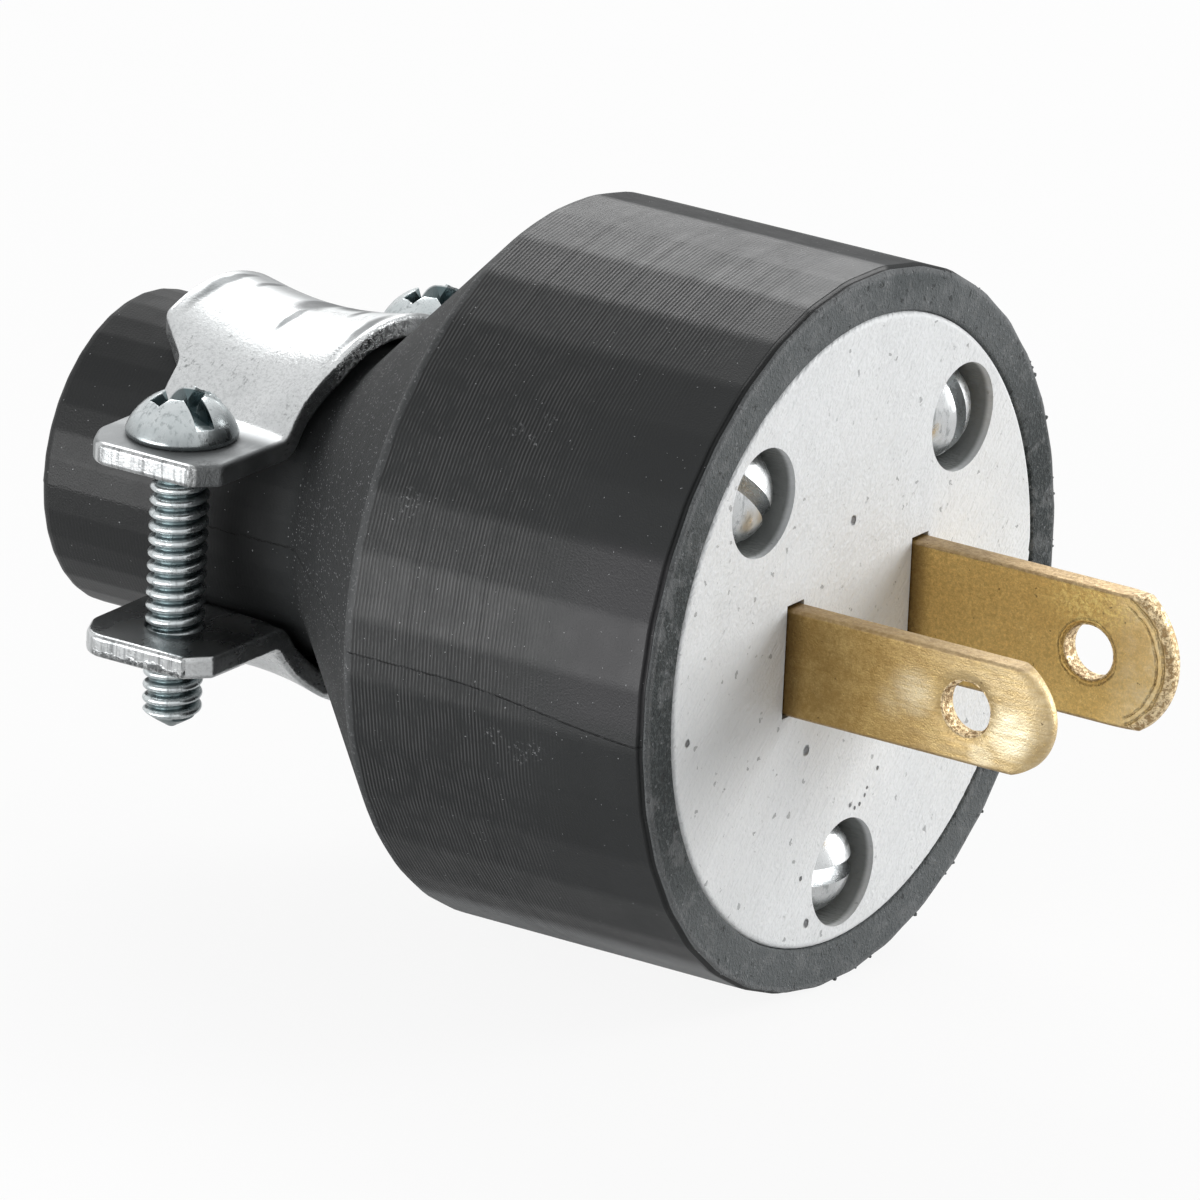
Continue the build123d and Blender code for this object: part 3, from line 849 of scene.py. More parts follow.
def shell_columns(settings):
    """The mesh columns: angle, middle of the barrel's and the neck's facet, and side of the parting line."""
    soft = settings.corner_softness
    columns = []
    for number in range(FACET_COUNT):
        corner = FACET_HALF + FACET_STEP * number
        columns.append((corner - soft, corner - FACET_HALF, corner, 0))
        columns.append((corner + soft, corner + FACET_HALF, corner, 0))
        side = corner + FACET_HALF
        on_line = 1 if side in PARTING_SIDES else 0
        shift = 0.0 if on_line else soft
        columns.append((side - shift, side, side - FACET_HALF, -on_line))
        columns.append((side + shift, side, side + FACET_HALF, on_line))
    return np.array(columns)


def degrees_from(angle, middle):
    """Signed angle from a direction, between -180 and 180 degrees."""
    return (angle - middle + 180.0) % 360.0 - 180.0


def soft_min(first, second, width):
    """The smaller of two values, blended over a width, and how much of it is the first."""
    share = np.clip(0.5 + 0.5 * (second - first) / width, 0.0, 1.0)
    return second * (1.0 - share) + first * share - width * share * (1.0 - share), share


def rib_depth(settings, x, angle):
    """How deep the tool marks are: strong behind, and gone before the rim."""
    top = np.exp(-(degrees_from(angle, TOP_RIBS) / 38.0) ** 2)
    fade_start = -12.5 + 7.0 * top
    fade = 1.0 - smooth_step(x, fade_start, fade_start + 6.5)
    behind = smooth_step(x, settings.barrel_back - 0.1, settings.barrel_back + 0.5)
    bare = 1.0 - 0.85 * smooth_step(-np.abs(degrees_from(angle, BARE_FACET)), -15.0, -9.0)
    uneven = 0.9 + 0.5 * noise.noise(Vector((x * 1.7, 0.0, 9.0)))
    return settings.rib_height * fade * behind * bare * uneven


def shell_surface(settings, x, columns):
    """Radius, angle and surface direction on the outside of the shell, for one value of x."""
    angle = columns[:, 0].copy()
    parting = columns[:, 3]
    near_side = np.where(angle == 180.0, 1.0, -1.0)
    drop = parting_angle(settings, np.full(len(angle), x), near_side)
    on_line = parting != 0
    angle = np.where(on_line, angle + np.clip(drop, -SEAM_REACH, SEAM_REACH) + SEAM_GAP * parting, angle)
    barrel = settings.barrel_radius * FACET_SHARE / np.cos(np.radians(angle - columns[:, 1]))
    barrel += np.where(on_line, -0.035 * parting, 0.0)
    barrel += rib_depth(settings, x, angle) * math.sin(2.0 * math.pi * x / settings.rib_pitch)
    cone = settings.barrel_radius + 0.04 + (x - settings.barrel_back)
    neck = settings.neck_radius * FACET_SHARE / np.cos(np.radians(angle - columns[:, 2]))
    neck = np.where(on_line, settings.neck_radius - 0.02 * parting, neck)
    outer, on_barrel = soft_min(barrel, np.full_like(barrel, cone), 0.22)
    radius, _ = soft_min(-outer, -neck, 0.7)
    radius = -radius
    on_neck = np.clip((neck - outer) / 0.3, 0.0, 1.0)
    back = x - settings.neck_back
    if back < settings.neck_rounding:
        rounding = settings.neck_rounding
        radius -= rounding - math.sqrt(max(rounding ** 2 - (rounding - back) ** 2, 0.0))
    tilt = np.where(on_line, 1.2 * parting * near_side, 0.0)
    facing = angle + (columns[:, 1] + tilt - angle) * on_barrel * (1.0 - on_neck)
    facing = facing + (columns[:, 2] - facing) * on_neck
    return radius, angle, facing


def shell_rows(settings, columns):
    """Every ring of points, from the rim, back along the outside and home through the bore."""
    rings = []

    def plain(x, base, weight):
        angle = columns[:, 0] + SEAM_GAP * columns[:, 3]
        polygon = FACET_SHARE / np.cos(np.radians(angle - columns[:, 1]))
        radius = base * (1.0 - weight + weight * polygon)
        facing = angle + (columns[:, 1] - angle) * weight
        rings.append((np.full_like(radius, x), radius, angle, facing))

    for x, base, weight in settings.rim_profile():
        plain(x, base, weight)
    step = settings.rib_pitch / 4.0
    barrel_x = np.arange(-0.62, settings.barrel_back - 0.45, -step)
    shoulder_x = np.arange(barrel_x[-1] - 0.1, settings.neck_front - 0.8, -0.28)
    neck_x = np.arange(shoulder_x[-1] - 0.3, settings.neck_back + settings.neck_rounding, -0.45)
    end_turn = np.linspace(0.0, math.pi / 2, 7)
    end_x = settings.neck_back + settings.neck_rounding * (1.0 - np.sin(end_turn))
    for x in np.concatenate([barrel_x, shoulder_x, neck_x, end_x]):
        radius, angle, facing = shell_surface(settings, x, columns)
        rings.append((np.full_like(radius, x), radius, angle, facing))
    for x, base in settings.bore_profile():
        plain(x, base, 0.0)
    return rings


def build_shell(settings):
    """The rubber moulding with its tool marks, parting line and bore."""
    rings = shell_rows(settings, shell_columns(settings))
    x, radius, angle, facing = (np.array(values) for values in zip(*rings))
    angle, facing = np.radians(angle), np.radians(facing)
    points = np.stack([x, radius * np.cos(angle), radius * np.sin(angle)], axis=-1)
    along = np.roll(points, -1, axis=0) - np.roll(points, 1, axis=0)
    around = np.stack([np.zeros_like(facing), -np.sin(facing), np.cos(facing)], axis=-1)
    normals = unit(np.cross(along, around))
    on_rim = (x > -0.2) & (radius > 18.6) & (radius < 20.9)
    lumps = wobble(points.reshape(-1, 3), 0.5, 3).reshape(x.shape)
    points[..., 0] += np.where(on_rim, 0.02 * lumps - 0.02, 0.0)
    rows, count = x.shape
    faces = [face[::-1] for face in grid_faces(rows, count, close_rows=True, close_columns=True)]
    return add_mesh("shell_skin", points.reshape(-1, 3), faces, normals.reshape(-1, 3))


def build_rim_flash(settings):
    """Little tags of rubber left round the rim by the mould."""
    chance = random.Random(11)
    points = []
    faces = []
    places = list(settings.flash_angles())
    for _ in range(FLASH_COUNT):
        places.append((chance.uniform(0, 360), chance.uniform(0.5, 0.9)))
    rings, steps = 5, 8
    for angle, size in places:
        turn = math.radians(angle)
        outward = Vector((0.0, math.cos(turn), math.sin(turn)))
        side = Vector((0.0, -math.sin(turn), math.cos(turn)))
        from_middle = (angle + FACET_HALF) % FACET_STEP - FACET_HALF
        corner = FACET_SHARE / math.cos(math.radians(from_middle))
        centre = Vector((-0.16, 0.0, 0.0)) + outward * (20.95 * min(corner, 1.0) - 0.02)
        start = len(points)
        for ring in range(rings):
            lift = math.pi * ring / (rings - 1)
            for spot in circle_points(math.sin(lift), math.cos(lift), steps):
                local = Vector(spot)
                rough = 1.0 + 0.3 * noise.noise(local * 1.7 + Vector((angle, 0, 0)))
                offset = Vector((FLASH_SIZE * local.x, FLASH_WIDTH * local.y, 0.0)) * rough * size
                spot = centre + Vector((offset.x, 0, 0)) + side * offset.y
                points.append(tuple(spot + outward * (FLASH_SIZE * local.z * size)))
        for ring in range(rings - 1):
            low = start + ring * steps
            high = low + steps
            for step in range(steps):
                ahead = (step + 1) % steps
                faces.append((low + step, high + step, high + ahead, low + ahead))
    limit = settings.barrel_radius * FACET_SHARE - 0.002
    points = np.array(points)
    points[:, 1:] = np.clip(points[:, 1:], -limit, limit)
    return add_mesh("rim_flash", points, faces)


# Blades

BLADE_BASE = -5.9
TAIL_FRONT = -6.0
TAIL_SHOULDER = -8.2
TAIL_BACK = -16.5
TAIL_HALF = 3.5
TAIL_OVERHANG = 1.5
LEAST_CORE = 0.12
OUTLINE_STEPS = 340
FACE_STEPS = 44
BURR_RINGS = ((-0.6, 0.06), (-0.3, 0.13), (0.0, 0.19), (0.3, 0.15), (0.6, 0.07))


class BladeForm:
    """The outline and the worn surface of one blade, in millimetres."""

    def __init__(self, width, tip_radius, settings, soft):
        self.half = width / 2
        self.tip_radius = tip_radius
        self.length = settings.blade_length
        self.centre = self.length - tip_radius
        self.hole = settings.hole_place
        self.hole_radius = settings.hole_radius
        self.thickness = settings.thickness
        self.soft = soft

    def reach(self, angle, base):
        """How far the outline is from the hole's centre in that direction."""
        dx, dz = math.cos(angle), math.sin(angle)
        best = 1e9
        if abs(dz) > 1e-9:
            best = self.half / abs(dz)
        if dx < -1e-9:
            best = min(best, (base - self.hole) / dx)
        offset = self.hole - self.centre
        product = offset * dx
        root = product * product - offset * offset + self.tip_radius ** 2
        arc = -product + math.sqrt(max(root, 0.0))
        if self.hole + arc * dx > self.centre:
            best = min(best, arc)
        return best

    def edge_distance(self, x, z):
        """How far a place is from the blade's straight sides and from its tip."""
        side = self.half - np.abs(z)
        tip = self.tip_radius - np.hypot(x - self.centre, z)
        return side, tip

    def lowered(self, x, z):
        """How far the face lies below the sheet's own face."""
        side, tip = self.edge_distance(x, z)
        forward = smooth_step(x, self.centre + 0.15 * self.tip_radius, self.centre + 0.85 * self.tip_radius)
        tip = np.where(x > self.centre, tip, 9.0)
        from_hole = np.hypot(x - self.hole, z) - self.hole_radius
        if self.soft:
            roll = 0.26
            bevel = 0.42 * (1.0 - np.clip(tip / 1.5, 0.0, 1.0)) ** 2
            dish = 0.20 * (1.0 - np.clip(from_hole / 0.85, 0.0, 1.0)) ** 2
        else:
            roll = 0.18
            bevel = 0.09 * (1.0 - smooth_step(tip, 0.98, 1.08))
            bevel += 0.08 * (1.0 - smooth_step(tip, 0.64, 0.72))
            bevel += 0.24 * (1.0 - np.clip(tip / 0.98, 0.0, 1.0)) ** 1.3
            dish = 0.14 * (1.0 - smooth_step(from_hole, 0.16, 0.34))
            dish += 0.08 * (1.0 - np.clip(from_hole / 0.2, 0.0, 1.0))
        bevel = bevel * forward
        edge = np.minimum(side, np.maximum(tip, 0.0))
        gap = np.clip(roll - edge, 0.0, roll)
        rounded = roll - np.sqrt(np.maximum(roll * roll - gap * gap, 0.0))
        return rounded + bevel + dish


def plate_with_hole(form, middle_y, angles, seed):
    """A plate round a hole: rings from the hole's wall over one face, round the edge and back."""
    reach = np.array([form.reach(angle, BLADE_BASE) for angle in angles])
    dx, dz = np.cos(angles), np.sin(angles)
    shares = np.concatenate([
        np.linspace(0.0, 0.16, 9)[:-1],
        np.linspace(0.16, 0.86, FACE_STEPS)[:-1],
        1.0 - np.linspace(0.14, 0.0, 13) ** 1.25 / 0.14 ** 0.25,
    ])
    half = form.thickness / 2
    rings = []
    wall = form.hole_radius
    for side in (1, -1):
        order = shares if side > 0 else shares[::-1]
        for share in order:
            along = wall + (reach - wall) * share
            x = form.hole + along * dx
            z = along * dz
            low = np.minimum(form.lowered(x, z), half - LEAST_CORE)
            dents = 0.014 * np.array([
                noise.noise(Vector((px * 1.1, pz * 1.1, seed + 2 * side))) for px, pz in zip(x, z)
            ])
            rings.append(np.stack([x, middle_y + side * (half - low + dents - 0.008), z], axis=-1))
        if side > 0:
            x = form.hole + reach * dx
            z = reach * dz
            rest = half - np.minimum(form.lowered(x, z), half - LEAST_CORE)
            for height in (0.5, 0.0, -0.5):
                rings.append(np.stack([x, middle_y + height * rest, z], axis=-1))
    burr = 1.0 if form.soft else 0.12
    for height, pinch in BURR_RINGS:
        spots = [Vector((2.3 * cx, 2.3 * cz, seed + 1.6 * height)) for cx, cz in zip(dx, dz)]
        ragged = np.array([noise.noise(spot) + 0.25 * noise.noise(spot * 3.2) for spot in spots])
        radius = wall - burr * pinch * np.maximum(0.45 + 1.3 * ragged, 0.0)
        y = np.full_like(dx, middle_y + height * half)
        rings.append(np.stack([form.hole + radius * dx, y, radius * dz], axis=-1))
    points = np.array(rings)
    faces = grid_faces(points.shape[0], points.shape[1], close_rows=True, close_columns=True)
    return points.reshape(-1, 3), faces


def box_part(low, high):
    """Points and faces of a box between two corners."""
    points = [(x, y, z) for x in (low[0], high[0]) for y in (low[1], high[1]) for z in (low[2], high[2])]
    faces = [(0, 1, 3, 2), (4, 6, 7, 5), (0, 4, 5, 1), (2, 3, 7, 6), (0, 2, 6, 4), (1, 5, 7, 3)]
    return np.array(points), faces


def build_blade(name, side, width, tip_radius, settings, soft):
    """One blade with its punched hole, and its plain tail behind the cover."""
    form = BladeForm(width, tip_radius, settings, soft)
    middle = side * settings.offset
    arc_start = form.centre + math.sqrt(max(tip_radius ** 2 - form.half ** 2, 0.0))
    corners = [math.atan2(z, x - form.hole) for x in (BLADE_BASE, arc_start) for z in (form.half, -form.half)]
    angles = sorted(set(list(np.linspace(-math.pi, math.pi, OUTLINE_STEPS, endpoint=False)) + corners))
    low, high = middle - settings.thickness / 2, middle + settings.thickness / 2
    overhang = form.half + TAIL_OVERHANG
    parts = [
        plate_with_hole(form, middle, np.array(angles), 3.0 + side),
        box_part((TAIL_SHOULDER, low, -overhang), (TAIL_FRONT, high, overhang)),
        box_part((TAIL_BACK, low, -TAIL_HALF), (TAIL_SHOULDER, high, TAIL_HALF)),
    ]
    all_points, all_faces = [], []
    for part_points, part_faces in parts:
        start = len(all_points)
        all_points.extend([tuple(point) for point in part_points])
        all_faces.extend([tuple(index + start for index in face) for face in part_faces])
    obj = add_mesh(name, all_points, all_faces)
    tidy_normals(obj)
    return obj


def tidy_normals(obj):
    """Makes every closed part of a mesh face outwards."""
    mesh = bmesh.new()
    mesh.from_mesh(obj.data)
    bmesh.ops.recalc_face_normals(mesh, faces=mesh.faces)
    mesh.to_mesh(obj.data)
    mesh.free()


# Clamp screws

THREAD_STEPS = 80
HEAD_STEPS = 96
CONE_STEPS = 36
POINT_RADIUS = 0.22
WORN_EDGE = 0.07
BURR_WIDTH = 0.16


def thread_radius(settings, turn, depth):
    """Radius of the rolled thread at an angle round the screw and a depth below the head."""
    phase = (depth / settings.pitch + turn / (2 * math.pi)) % 1.0
    crest = np.sqrt(np.maximum(1.0 - (np.abs(phase - 0.5) / 0.37) ** 2, 0.0))
    radius = settings.root_radius + (settings.thread_radius - settings.root_radius) * crest
    starts = smooth_step(depth, 0.05, 0.7)
    return radius * starts + settings.root_radius * 1.06 * (1.0 - starts)


def build_thread(name, centre, settings):
    """The threaded shank of a clamp screw, with its cone point."""
    seat = settings.seat_height
    turns = np.linspace(0.0, 2 * math.pi, THREAD_STEPS, endpoint=False)
    straight = settings.shank_length - settings.point_length
    depths = np.concatenate([[-0.3], np.arange(0.0, straight, settings.pitch / 20.0)])
    rings = [(depth, thread_radius(settings, turns, max(depth, 0.0))) for depth in depths]
    for share in np.linspace(0.0, 1.0, 10):
        depth = straight + share * settings.point_length
        limit = settings.thread_radius + (POINT_RADIUS - settings.thread_radius) * share ** 1.15
        rings.append((depth, np.minimum(thread_radius(settings, turns, depth), limit)))
    points = []
    for depth, radius in rings:
        for turn, r in zip(turns, radius):
            points.append((centre[0] + r * math.cos(turn), centre[1] + r * math.sin(turn), seat - depth))
    count = len(turns)
    faces = grid_faces(len(rings), count, close_columns=True)
    faces.append(tuple(range(count)))
    faces.append(tuple(reversed(range((len(rings) - 1) * count, len(rings) * count))))
    return add_mesh(name, points, faces)


def build_head(name, centre, settings):
    """The domed head of a clamp screw, cut by its slot and half cross."""
    seat = settings.seat_height
    radius, height, skirt = settings.head_radius, settings.head_height, settings.skirt
    ball = settings.ball_radius()
    profile = [
        (radius * 0.6, 0.0), (radius - 0.22, 0.0), (radius - 0.06, 0.07), (radius, 0.24), (radius, skirt),
    ]
    edge = math.asin(min(radius / ball, 1.0))
    for share in np.linspace(0.97, 0.0, 26):
        tilt = edge * share
        profile.append((ball * math.sin(tilt), height - ball + ball * math.cos(tilt)))
    points = []
    count = HEAD_STEPS
    for ring_radius, z in profile[:-1]:
        points += circle_points(ring_radius, z, count)
    rings = len(profile) - 1
    faces = grid_faces(rings, count, close_columns=True)
    faces.append(tuple(reversed(range(count))))
    top = len(points)
    points.append((0.0, 0.0, height))
    last = (rings - 1) * count
    faces += [(last + step, last + (step + 1) % count, top) for step in range(count)]
    head = add_mesh(name, points, faces)
    top_centre = Vector((0, 0, height))
    turn = Matrix.Rotation(math.radians(settings.slot_angle), 4, "Z")
    across = Matrix.Rotation(math.radians(settings.slot_angle + 90.0), 4, "Z")
    slot = (4 * radius, settings.slot_width, 2 * settings.slot_depth)
    arm = (2 * settings.cross_reach, settings.slot_width, 2 * settings.cross_depth)
    cutters = [
        cutting_box(name + "_slot", slot, turn, top_centre),
        cutting_box(name + "_arm", arm, across, top_centre),
        cutting_cone(name + "_centre", settings.centre_radius, settings.cross_depth, height),
    ]
    for cutter in cutters:
        cut = head.modifiers.new("cut", "BOOLEAN")
        cut.operation = "DIFFERENCE"
        cut.solver = "EXACT"
        cut.object = cutter
    bevel = head.modifiers.new("worn_edges", "BEVEL")
    bevel.width = WORN_EDGE * MM
    bevel.segments = 2
    bevel.limit_method = "ANGLE"
    bevel.angle_limit = math.radians(38)
    apply_modifiers(head)
    for cutter in cutters:
        bpy.data.objects.remove(cutter)
    roughen_burr(head, settings, across)
    for vertex in head.data.vertices:
        vertex.co += Vector((centre[0], centre[1], seat)) * MM
    return head


def cutting_box(name, size, turn, centre):
    """A turned box about a centre, to cut with."""
    points, faces = box_part([-value / 2 for value in size], [value / 2 for value in size])
    moved = [tuple((turn @ Vector(point)) + centre) for point in points]
    return add_mesh(name, moved, faces, smooth=False)


def cutting_cone(name, radius, depth, top):
    """A cone that narrows downwards from just over the head's top."""
    count = CONE_STEPS
    points = circle_points(radius * 1.15, top + 0.15 * depth, count)
    points += circle_points(radius * 0.45, top - depth, count)
    faces = [face[::-1] for face in grid_faces(2, count, close_columns=True)]
    faces.append(tuple(range(count)))
    faces.append(tuple(reversed(range(count, 2 * count))))
    return add_mesh(name, points, faces, smooth=False)


def apply_modifiers(obj):
    """Replaces an object's mesh by what its modifiers make of it."""
    bpy.context.view_layer.update()
    shown = obj.evaluated_get(bpy.context.evaluated_depsgraph_get())
    mesh = bpy.data.meshes.new_from_object(shown)
    obj.modifiers.clear()
    obj.data = mesh
    mesh.polygons.foreach_set("use_smooth", [True] * len(mesh.polygons))
    mesh.set_sharp_from_angle(angle=math.radians(32))


def roughen_burr(head, settings, across):
    """Raises an uneven burr round the cross recess."""
    direction = (across @ Vector((1, 0, 0))).to_2d()
    for vertex in head.data.vertices:
        flat = Vector((vertex.co.x, vertex.co.y)) / MM
        along = flat.dot(direction)
        aside = abs(flat.x * -direction.y + flat.y * direction.x)
        half = settings.slot_width / 2
        near_arm = half < along < settings.cross_reach + 0.25 and abs(aside - half) < BURR_WIDTH
        near_end = abs(along - settings.cross_reach) < BURR_WIDTH and aside < half + 0.1
        high = vertex.co.z > 0.55 * settings.head_height * MM
        if high and (near_arm or near_end):
            lift = 0.10 + 0.16 * noise.noise(Vector((flat.x * 3.0, flat.y * 3.0, 1.0)))
            vertex.co.z += max(lift, 0.0) * MM


# Sizes and colours that a user may change

def size_property(name, description, value):
    """A number: millimetres unless its description says otherwise."""
    return bpy.props.FloatProperty(name=name, description=description, default=value, precision=3)


def color_property(name, description, value):
    """A colour as linear red, green and blue."""
    return bpy.props.FloatVectorProperty(
        name=name, description=description, default=value, subtype="COLOR", size=3, min=0.0, max=1.0,
    )


class PlugShellSettings(bpy.types.PropertyGroup):
    """Sizes in millimetres and colours of the rubber shell."""
    barrel_radius: size_property("Barrel radius", "Radius to the corners of the barrel's facets", 21.1)
    barrel_back: size_property("Barrel back", "Where the barrel meets the shoulder along X", -20.2)
    neck_radius: size_property("Neck radius", "Radius of the neck", 9.3)
    neck_front: size_property("Neck front", "Where the shoulder meets the neck along X", -32.04)
    neck_back: size_property("Neck back", "The cord end of the neck along X", -50.0)
    neck_rounding: size_property("Neck rounding", "Rounding of the neck's end", 0.7)
    corner_softness: size_property("Corner softness", "Half the width of a facet corner, in degrees", 0.95)
    rib_pitch: size_property("Rib pitch", "Distance between two tool marks", 0.2375)
    rib_height: size_property("Rib height", "Half the height of a tool mark", 0.018)
    parting_bend: size_property("Parting bend", "Where the parting line starts to drop along X", -14.0)
    parting_start: size_property("Parting start", "Height of the parting line behind", -0.38)
    parting_end: size_property("Parting end", "Height of the parting line at the rim", -1.5)
    dark_color: color_property("Dark rubber", "Colour of the darker rubber", (0.0110, 0.0122, 0.0128))
    light_color: color_property("Light rubber", "Colour of the paler rubber", (0.0185, 0.0202, 0.0210))

    def parting_line(self):
        """Where the parting line starts to drop, and its height behind and at the rim."""
        return self.parting_bend, self.parting_start, self.parting_end

    def rim_profile(self):
        """x, radius and how far it follows the facets, from the cover's edge to the groove."""
        return (
            (-0.30, 18.41, 0.0), (-0.08, 18.44, 0.0), (0.0, 18.55, 0.0), (0.0, 18.8, 0.0), (0.0, 19.2, 0.2),
            (0.0, 19.6, 0.4), (0.0, 20.0, 0.7), (0.0, 20.4, 1.0), (-0.015, 20.68, 1.0), (-0.05, 20.85, 1.0),
            (-0.12, 20.93, 1.0), (-0.22, 20.95, 1.0), (-0.29, 20.95, 1.0), (-0.32, 20.88, 1.0),
            (-0.40, 20.85, 1.0), (-0.50, 20.86, 1.0), (-0.55, 20.93, 1.0), (-0.58, 21.04, 1.0),
        )

    def bore_profile(self):
        """x and radius of the inside, from the cord's mouth to the cover."""
        return (
            (-50.0, 8.0), (-50.0, 7.0), (-49.95, 6.28), (-49.6, 5.85), (-49.2, 5.45), (-48.8, 5.4),
            (-40.0, 5.4), (-27.4, 5.4), (-26.8, 5.5), (-22.0, 9.14), (-17.7, 12.3), (-17.5, 12.5),
            (-17.5, 12.7), (-17.5, 17.2), (-17.5, 17.4), (-17.3, 17.4), (-6.2, 17.4), (-6.0, 17.4),
            (-6.0, 17.6), (-6.0, 18.4), (-5.8, 18.4), (-0.5, 18.4),
        )

    def scuffs(self):
        """x, angle and radius of the rubbed places on the barrel."""
        return (
            (-10.2, 188.5, 0.7), (-8.6, 190.0, 0.8), (-7.4, 189.0, 0.7), (-17.7, 156.0, 0.9),
            (-12.6, 141.0, 0.5), (-11.3, 142.0, 0.6), (-10.8, 138.0, 0.5),
        )

    def flash_angles(self):
        """Angle and size of the largest tags of rubber on the rim."""
        return (
            (31.0, 1.2), (22.0, 1.3), (-67.0, 1.3), (-90.0, 1.2), (-35.0, 1.1), (-45.0, 1.1), (-55.0, 1.0),
            (105.0, 1.0), (128.0, 1.0), (-80.0, 0.9), (8.0, 0.9), (-20.0, 0.9),
        )


class PlugCoverSettings(bpy.types.PropertyGroup):
    """Colours of the front cover."""
    face_color: color_property("Face", "Colour of the cover", (0.790, 0.805, 0.815))
    shade_color: color_property("Cloud", "Colour of its duller clouds", (0.690, 0.708, 0.718))

    def speck_layers(self):
        """Cells per metre, size, share of the cells and strength of each layer of specks."""
        return (620.0, 0.10, 0.36, 0.55), (1150.0, 0.11, 0.36, 0.34), (2300.0, 0.15, 0.60, 0.20)

    def pits(self):
        """y, z and radius of the larger pits in the face."""
        return (
            (-0.8, 6.8, 0.30), (-16.8, -2.2, 0.24), (-4.5, -5.9, 0.32), (-3.6, -16.5, 0.28),
            (3.1, -9.0, 0.14), (-4.4, -13.6, 0.16),
            (0.4, -10.5, 0.14), (0.9, -10.8, 0.12), (1.4, -10.7, 0.13), (1.9, -10.3, 0.12), (2.1, -9.9, 0.11),
        )


class PlugBladeSettings(bpy.types.PropertyGroup):
    """Sizes in millimetres and colours of the blades."""
    offset: size_property("Offset", "From the middle of the plug to the middle of a blade", 6.35)
    thickness: size_property("Thickness", "Thickness of the brass", 1.52)
    blade_length: size_property("Length", "How far the blades stand out of the cover", 17.46)
    narrow_width: size_property("Narrow width", "Width of the narrow blade", 6.35)
    narrow_tip: size_property("Narrow tip", "Radius of the narrow blade's tip", 3.3)
    wide_width: size_property("Wide width", "Width of the wide blade", 7.92)
    wide_tip: size_property("Wide tip", "Radius of the wide blade's tip", 4.8)
    hole_place: size_property("Hole place", "From the cover to the middle of the hole", 11.9)
    hole_radius: size_property("Hole radius", "Radius of the hole", 1.59)
    bright_color: color_property("Bright brass", "Colour of the brighter brass", (0.60, 0.43, 0.175))
    dull_color: color_property("Dull brass", "Colour of the tarnished brass", (0.45, 0.30, 0.108))
    # The pale tip colour is a painted highlight on the blades' tips
    tip_highlight_color: color_property("Pale brass", "Colour of the rubbed narrow tip", (0.98, 0.90, 0.68))

    def highlight_patches(self):
        """x, z, radius and strength of the painted highlight patches on the narrow blade."""
        return ((8.6, 0.3, 2.2, 0.50), (7.2, -0.6, 1.6, 0.22), (15.0, -0.7, 2.6, 1.0), (13.2, -2.4, 1.6, 0.6))


class PlugClampSettings(bpy.types.PropertyGroup):
    """Sizes in millimetres and colours of the clamp and its screws."""
    screw_x: size_property("Screw place", "Where the screws stand along X", -37.8)
    screw_offset: size_property("Screw offset", "From the middle of the plug to a screw", 12.6)
    seat_height: size_property("Seat height", "Height of the ear that the heads sit on", 6.4)
    shank_length: size_property("Screw length", "Length below the head", 17.46)
    point_length: size_property("Point length", "Length of the cone point", 1.0)
    thread_radius: size_property("Thread radius", "Outer radius of the thread", 1.72)
    root_radius: size_property("Root radius", "Inner radius of the thread", 1.30)
    pitch: size_property("Pitch", "Distance between two turns of the thread", 0.794)
    head_radius: size_property("Head radius", "Radius of the head", 3.25)
    head_height: size_property("Head height", "Height of the head", 2.65)
    skirt: size_property("Skirt", "Height of the straight edge of the head", 0.35)
    slot_angle: size_property("Slot angle", "Direction of the slot, in degrees from X", -27.0)
    slot_width: size_property("Slot width", "Width of the slot", 1.15)
    slot_depth: size_property("Slot depth", "Depth of the slot below the top", 1.55)
    slot_mouth: size_property("Slot mouth", "From the middle of the head to the slot's pale open end", 2.75)
    cross_reach: size_property("Cross reach", "How far the cross recess reaches", 1.85)
    cross_depth: size_property("Cross depth", "Depth of the cross recess", 1.3)
    centre_radius: size_property("Centre radius", "Radius of the cone at the middle of the cross", 1.3)
    plate_light: color_property("Light plate", "Colour of the brighter zinc", (0.66, 0.675, 0.68))
    plate_dark: color_property("Dark plate", "Colour of the duller zinc", (0.50, 0.515, 0.52))
    screw_light: color_property("Light screw", "Colour of the brighter screw plate", (0.66, 0.70, 0.71))
    screw_dark: color_property("Dark screw", "Colour of the duller screw plate", (0.46, 0.51, 0.52))

    def ball_radius(self):
        """Radius of the sphere that the head's dome is part of."""
        cap = self.head_height - self.skirt
        return (self.head_radius ** 2 + cap ** 2) / (2 * cap)

    def crease_shades(self):
        """Place, radius and flattening of each painted crease shade on the arch."""
        return (
            (-37.9, -1.0, 10.6, 0.35, (1.0, 0.16, 0.16)),
            (-38.2, 2.4, 10.4, 1.20, (1.0, 0.42, 0.42)),
            (-36.2, 3.2, 10.3, 0.90, (0.6, 0.5, 0.5)),
            (-32.7, -1.6, 11.1, 0.50, (1.0, 0.16, 0.16)),
            (-35.0, 2.6, 10.6, 0.40, (1.0, 0.16, 0.16)),
            (-43.6, 0.5, 10.4, 0.45, (1.0, 0.11, 0.11)),
            (-42.2, 3.0, 10.2, 0.35, (1.0, 0.16, 0.16)),
        )


class PlugStageSettings(bpy.types.PropertyGroup):
    """Strengths of the stage's lights."""
    sky: size_property("Sky", "Strength of the even light", 0.34)
    back_power: size_property("Back light", "Power in watts of the light behind and above", 4.6)
    side_power: size_property("Side light", "Power in watts of the light at the left", 0.128)
    key_power: size_property("Key light", "Power in watts of the light on the face", 8.7)
    floor_color: color_property("Floor", "Colour of the floor", (0.86, 0.86, 0.86))


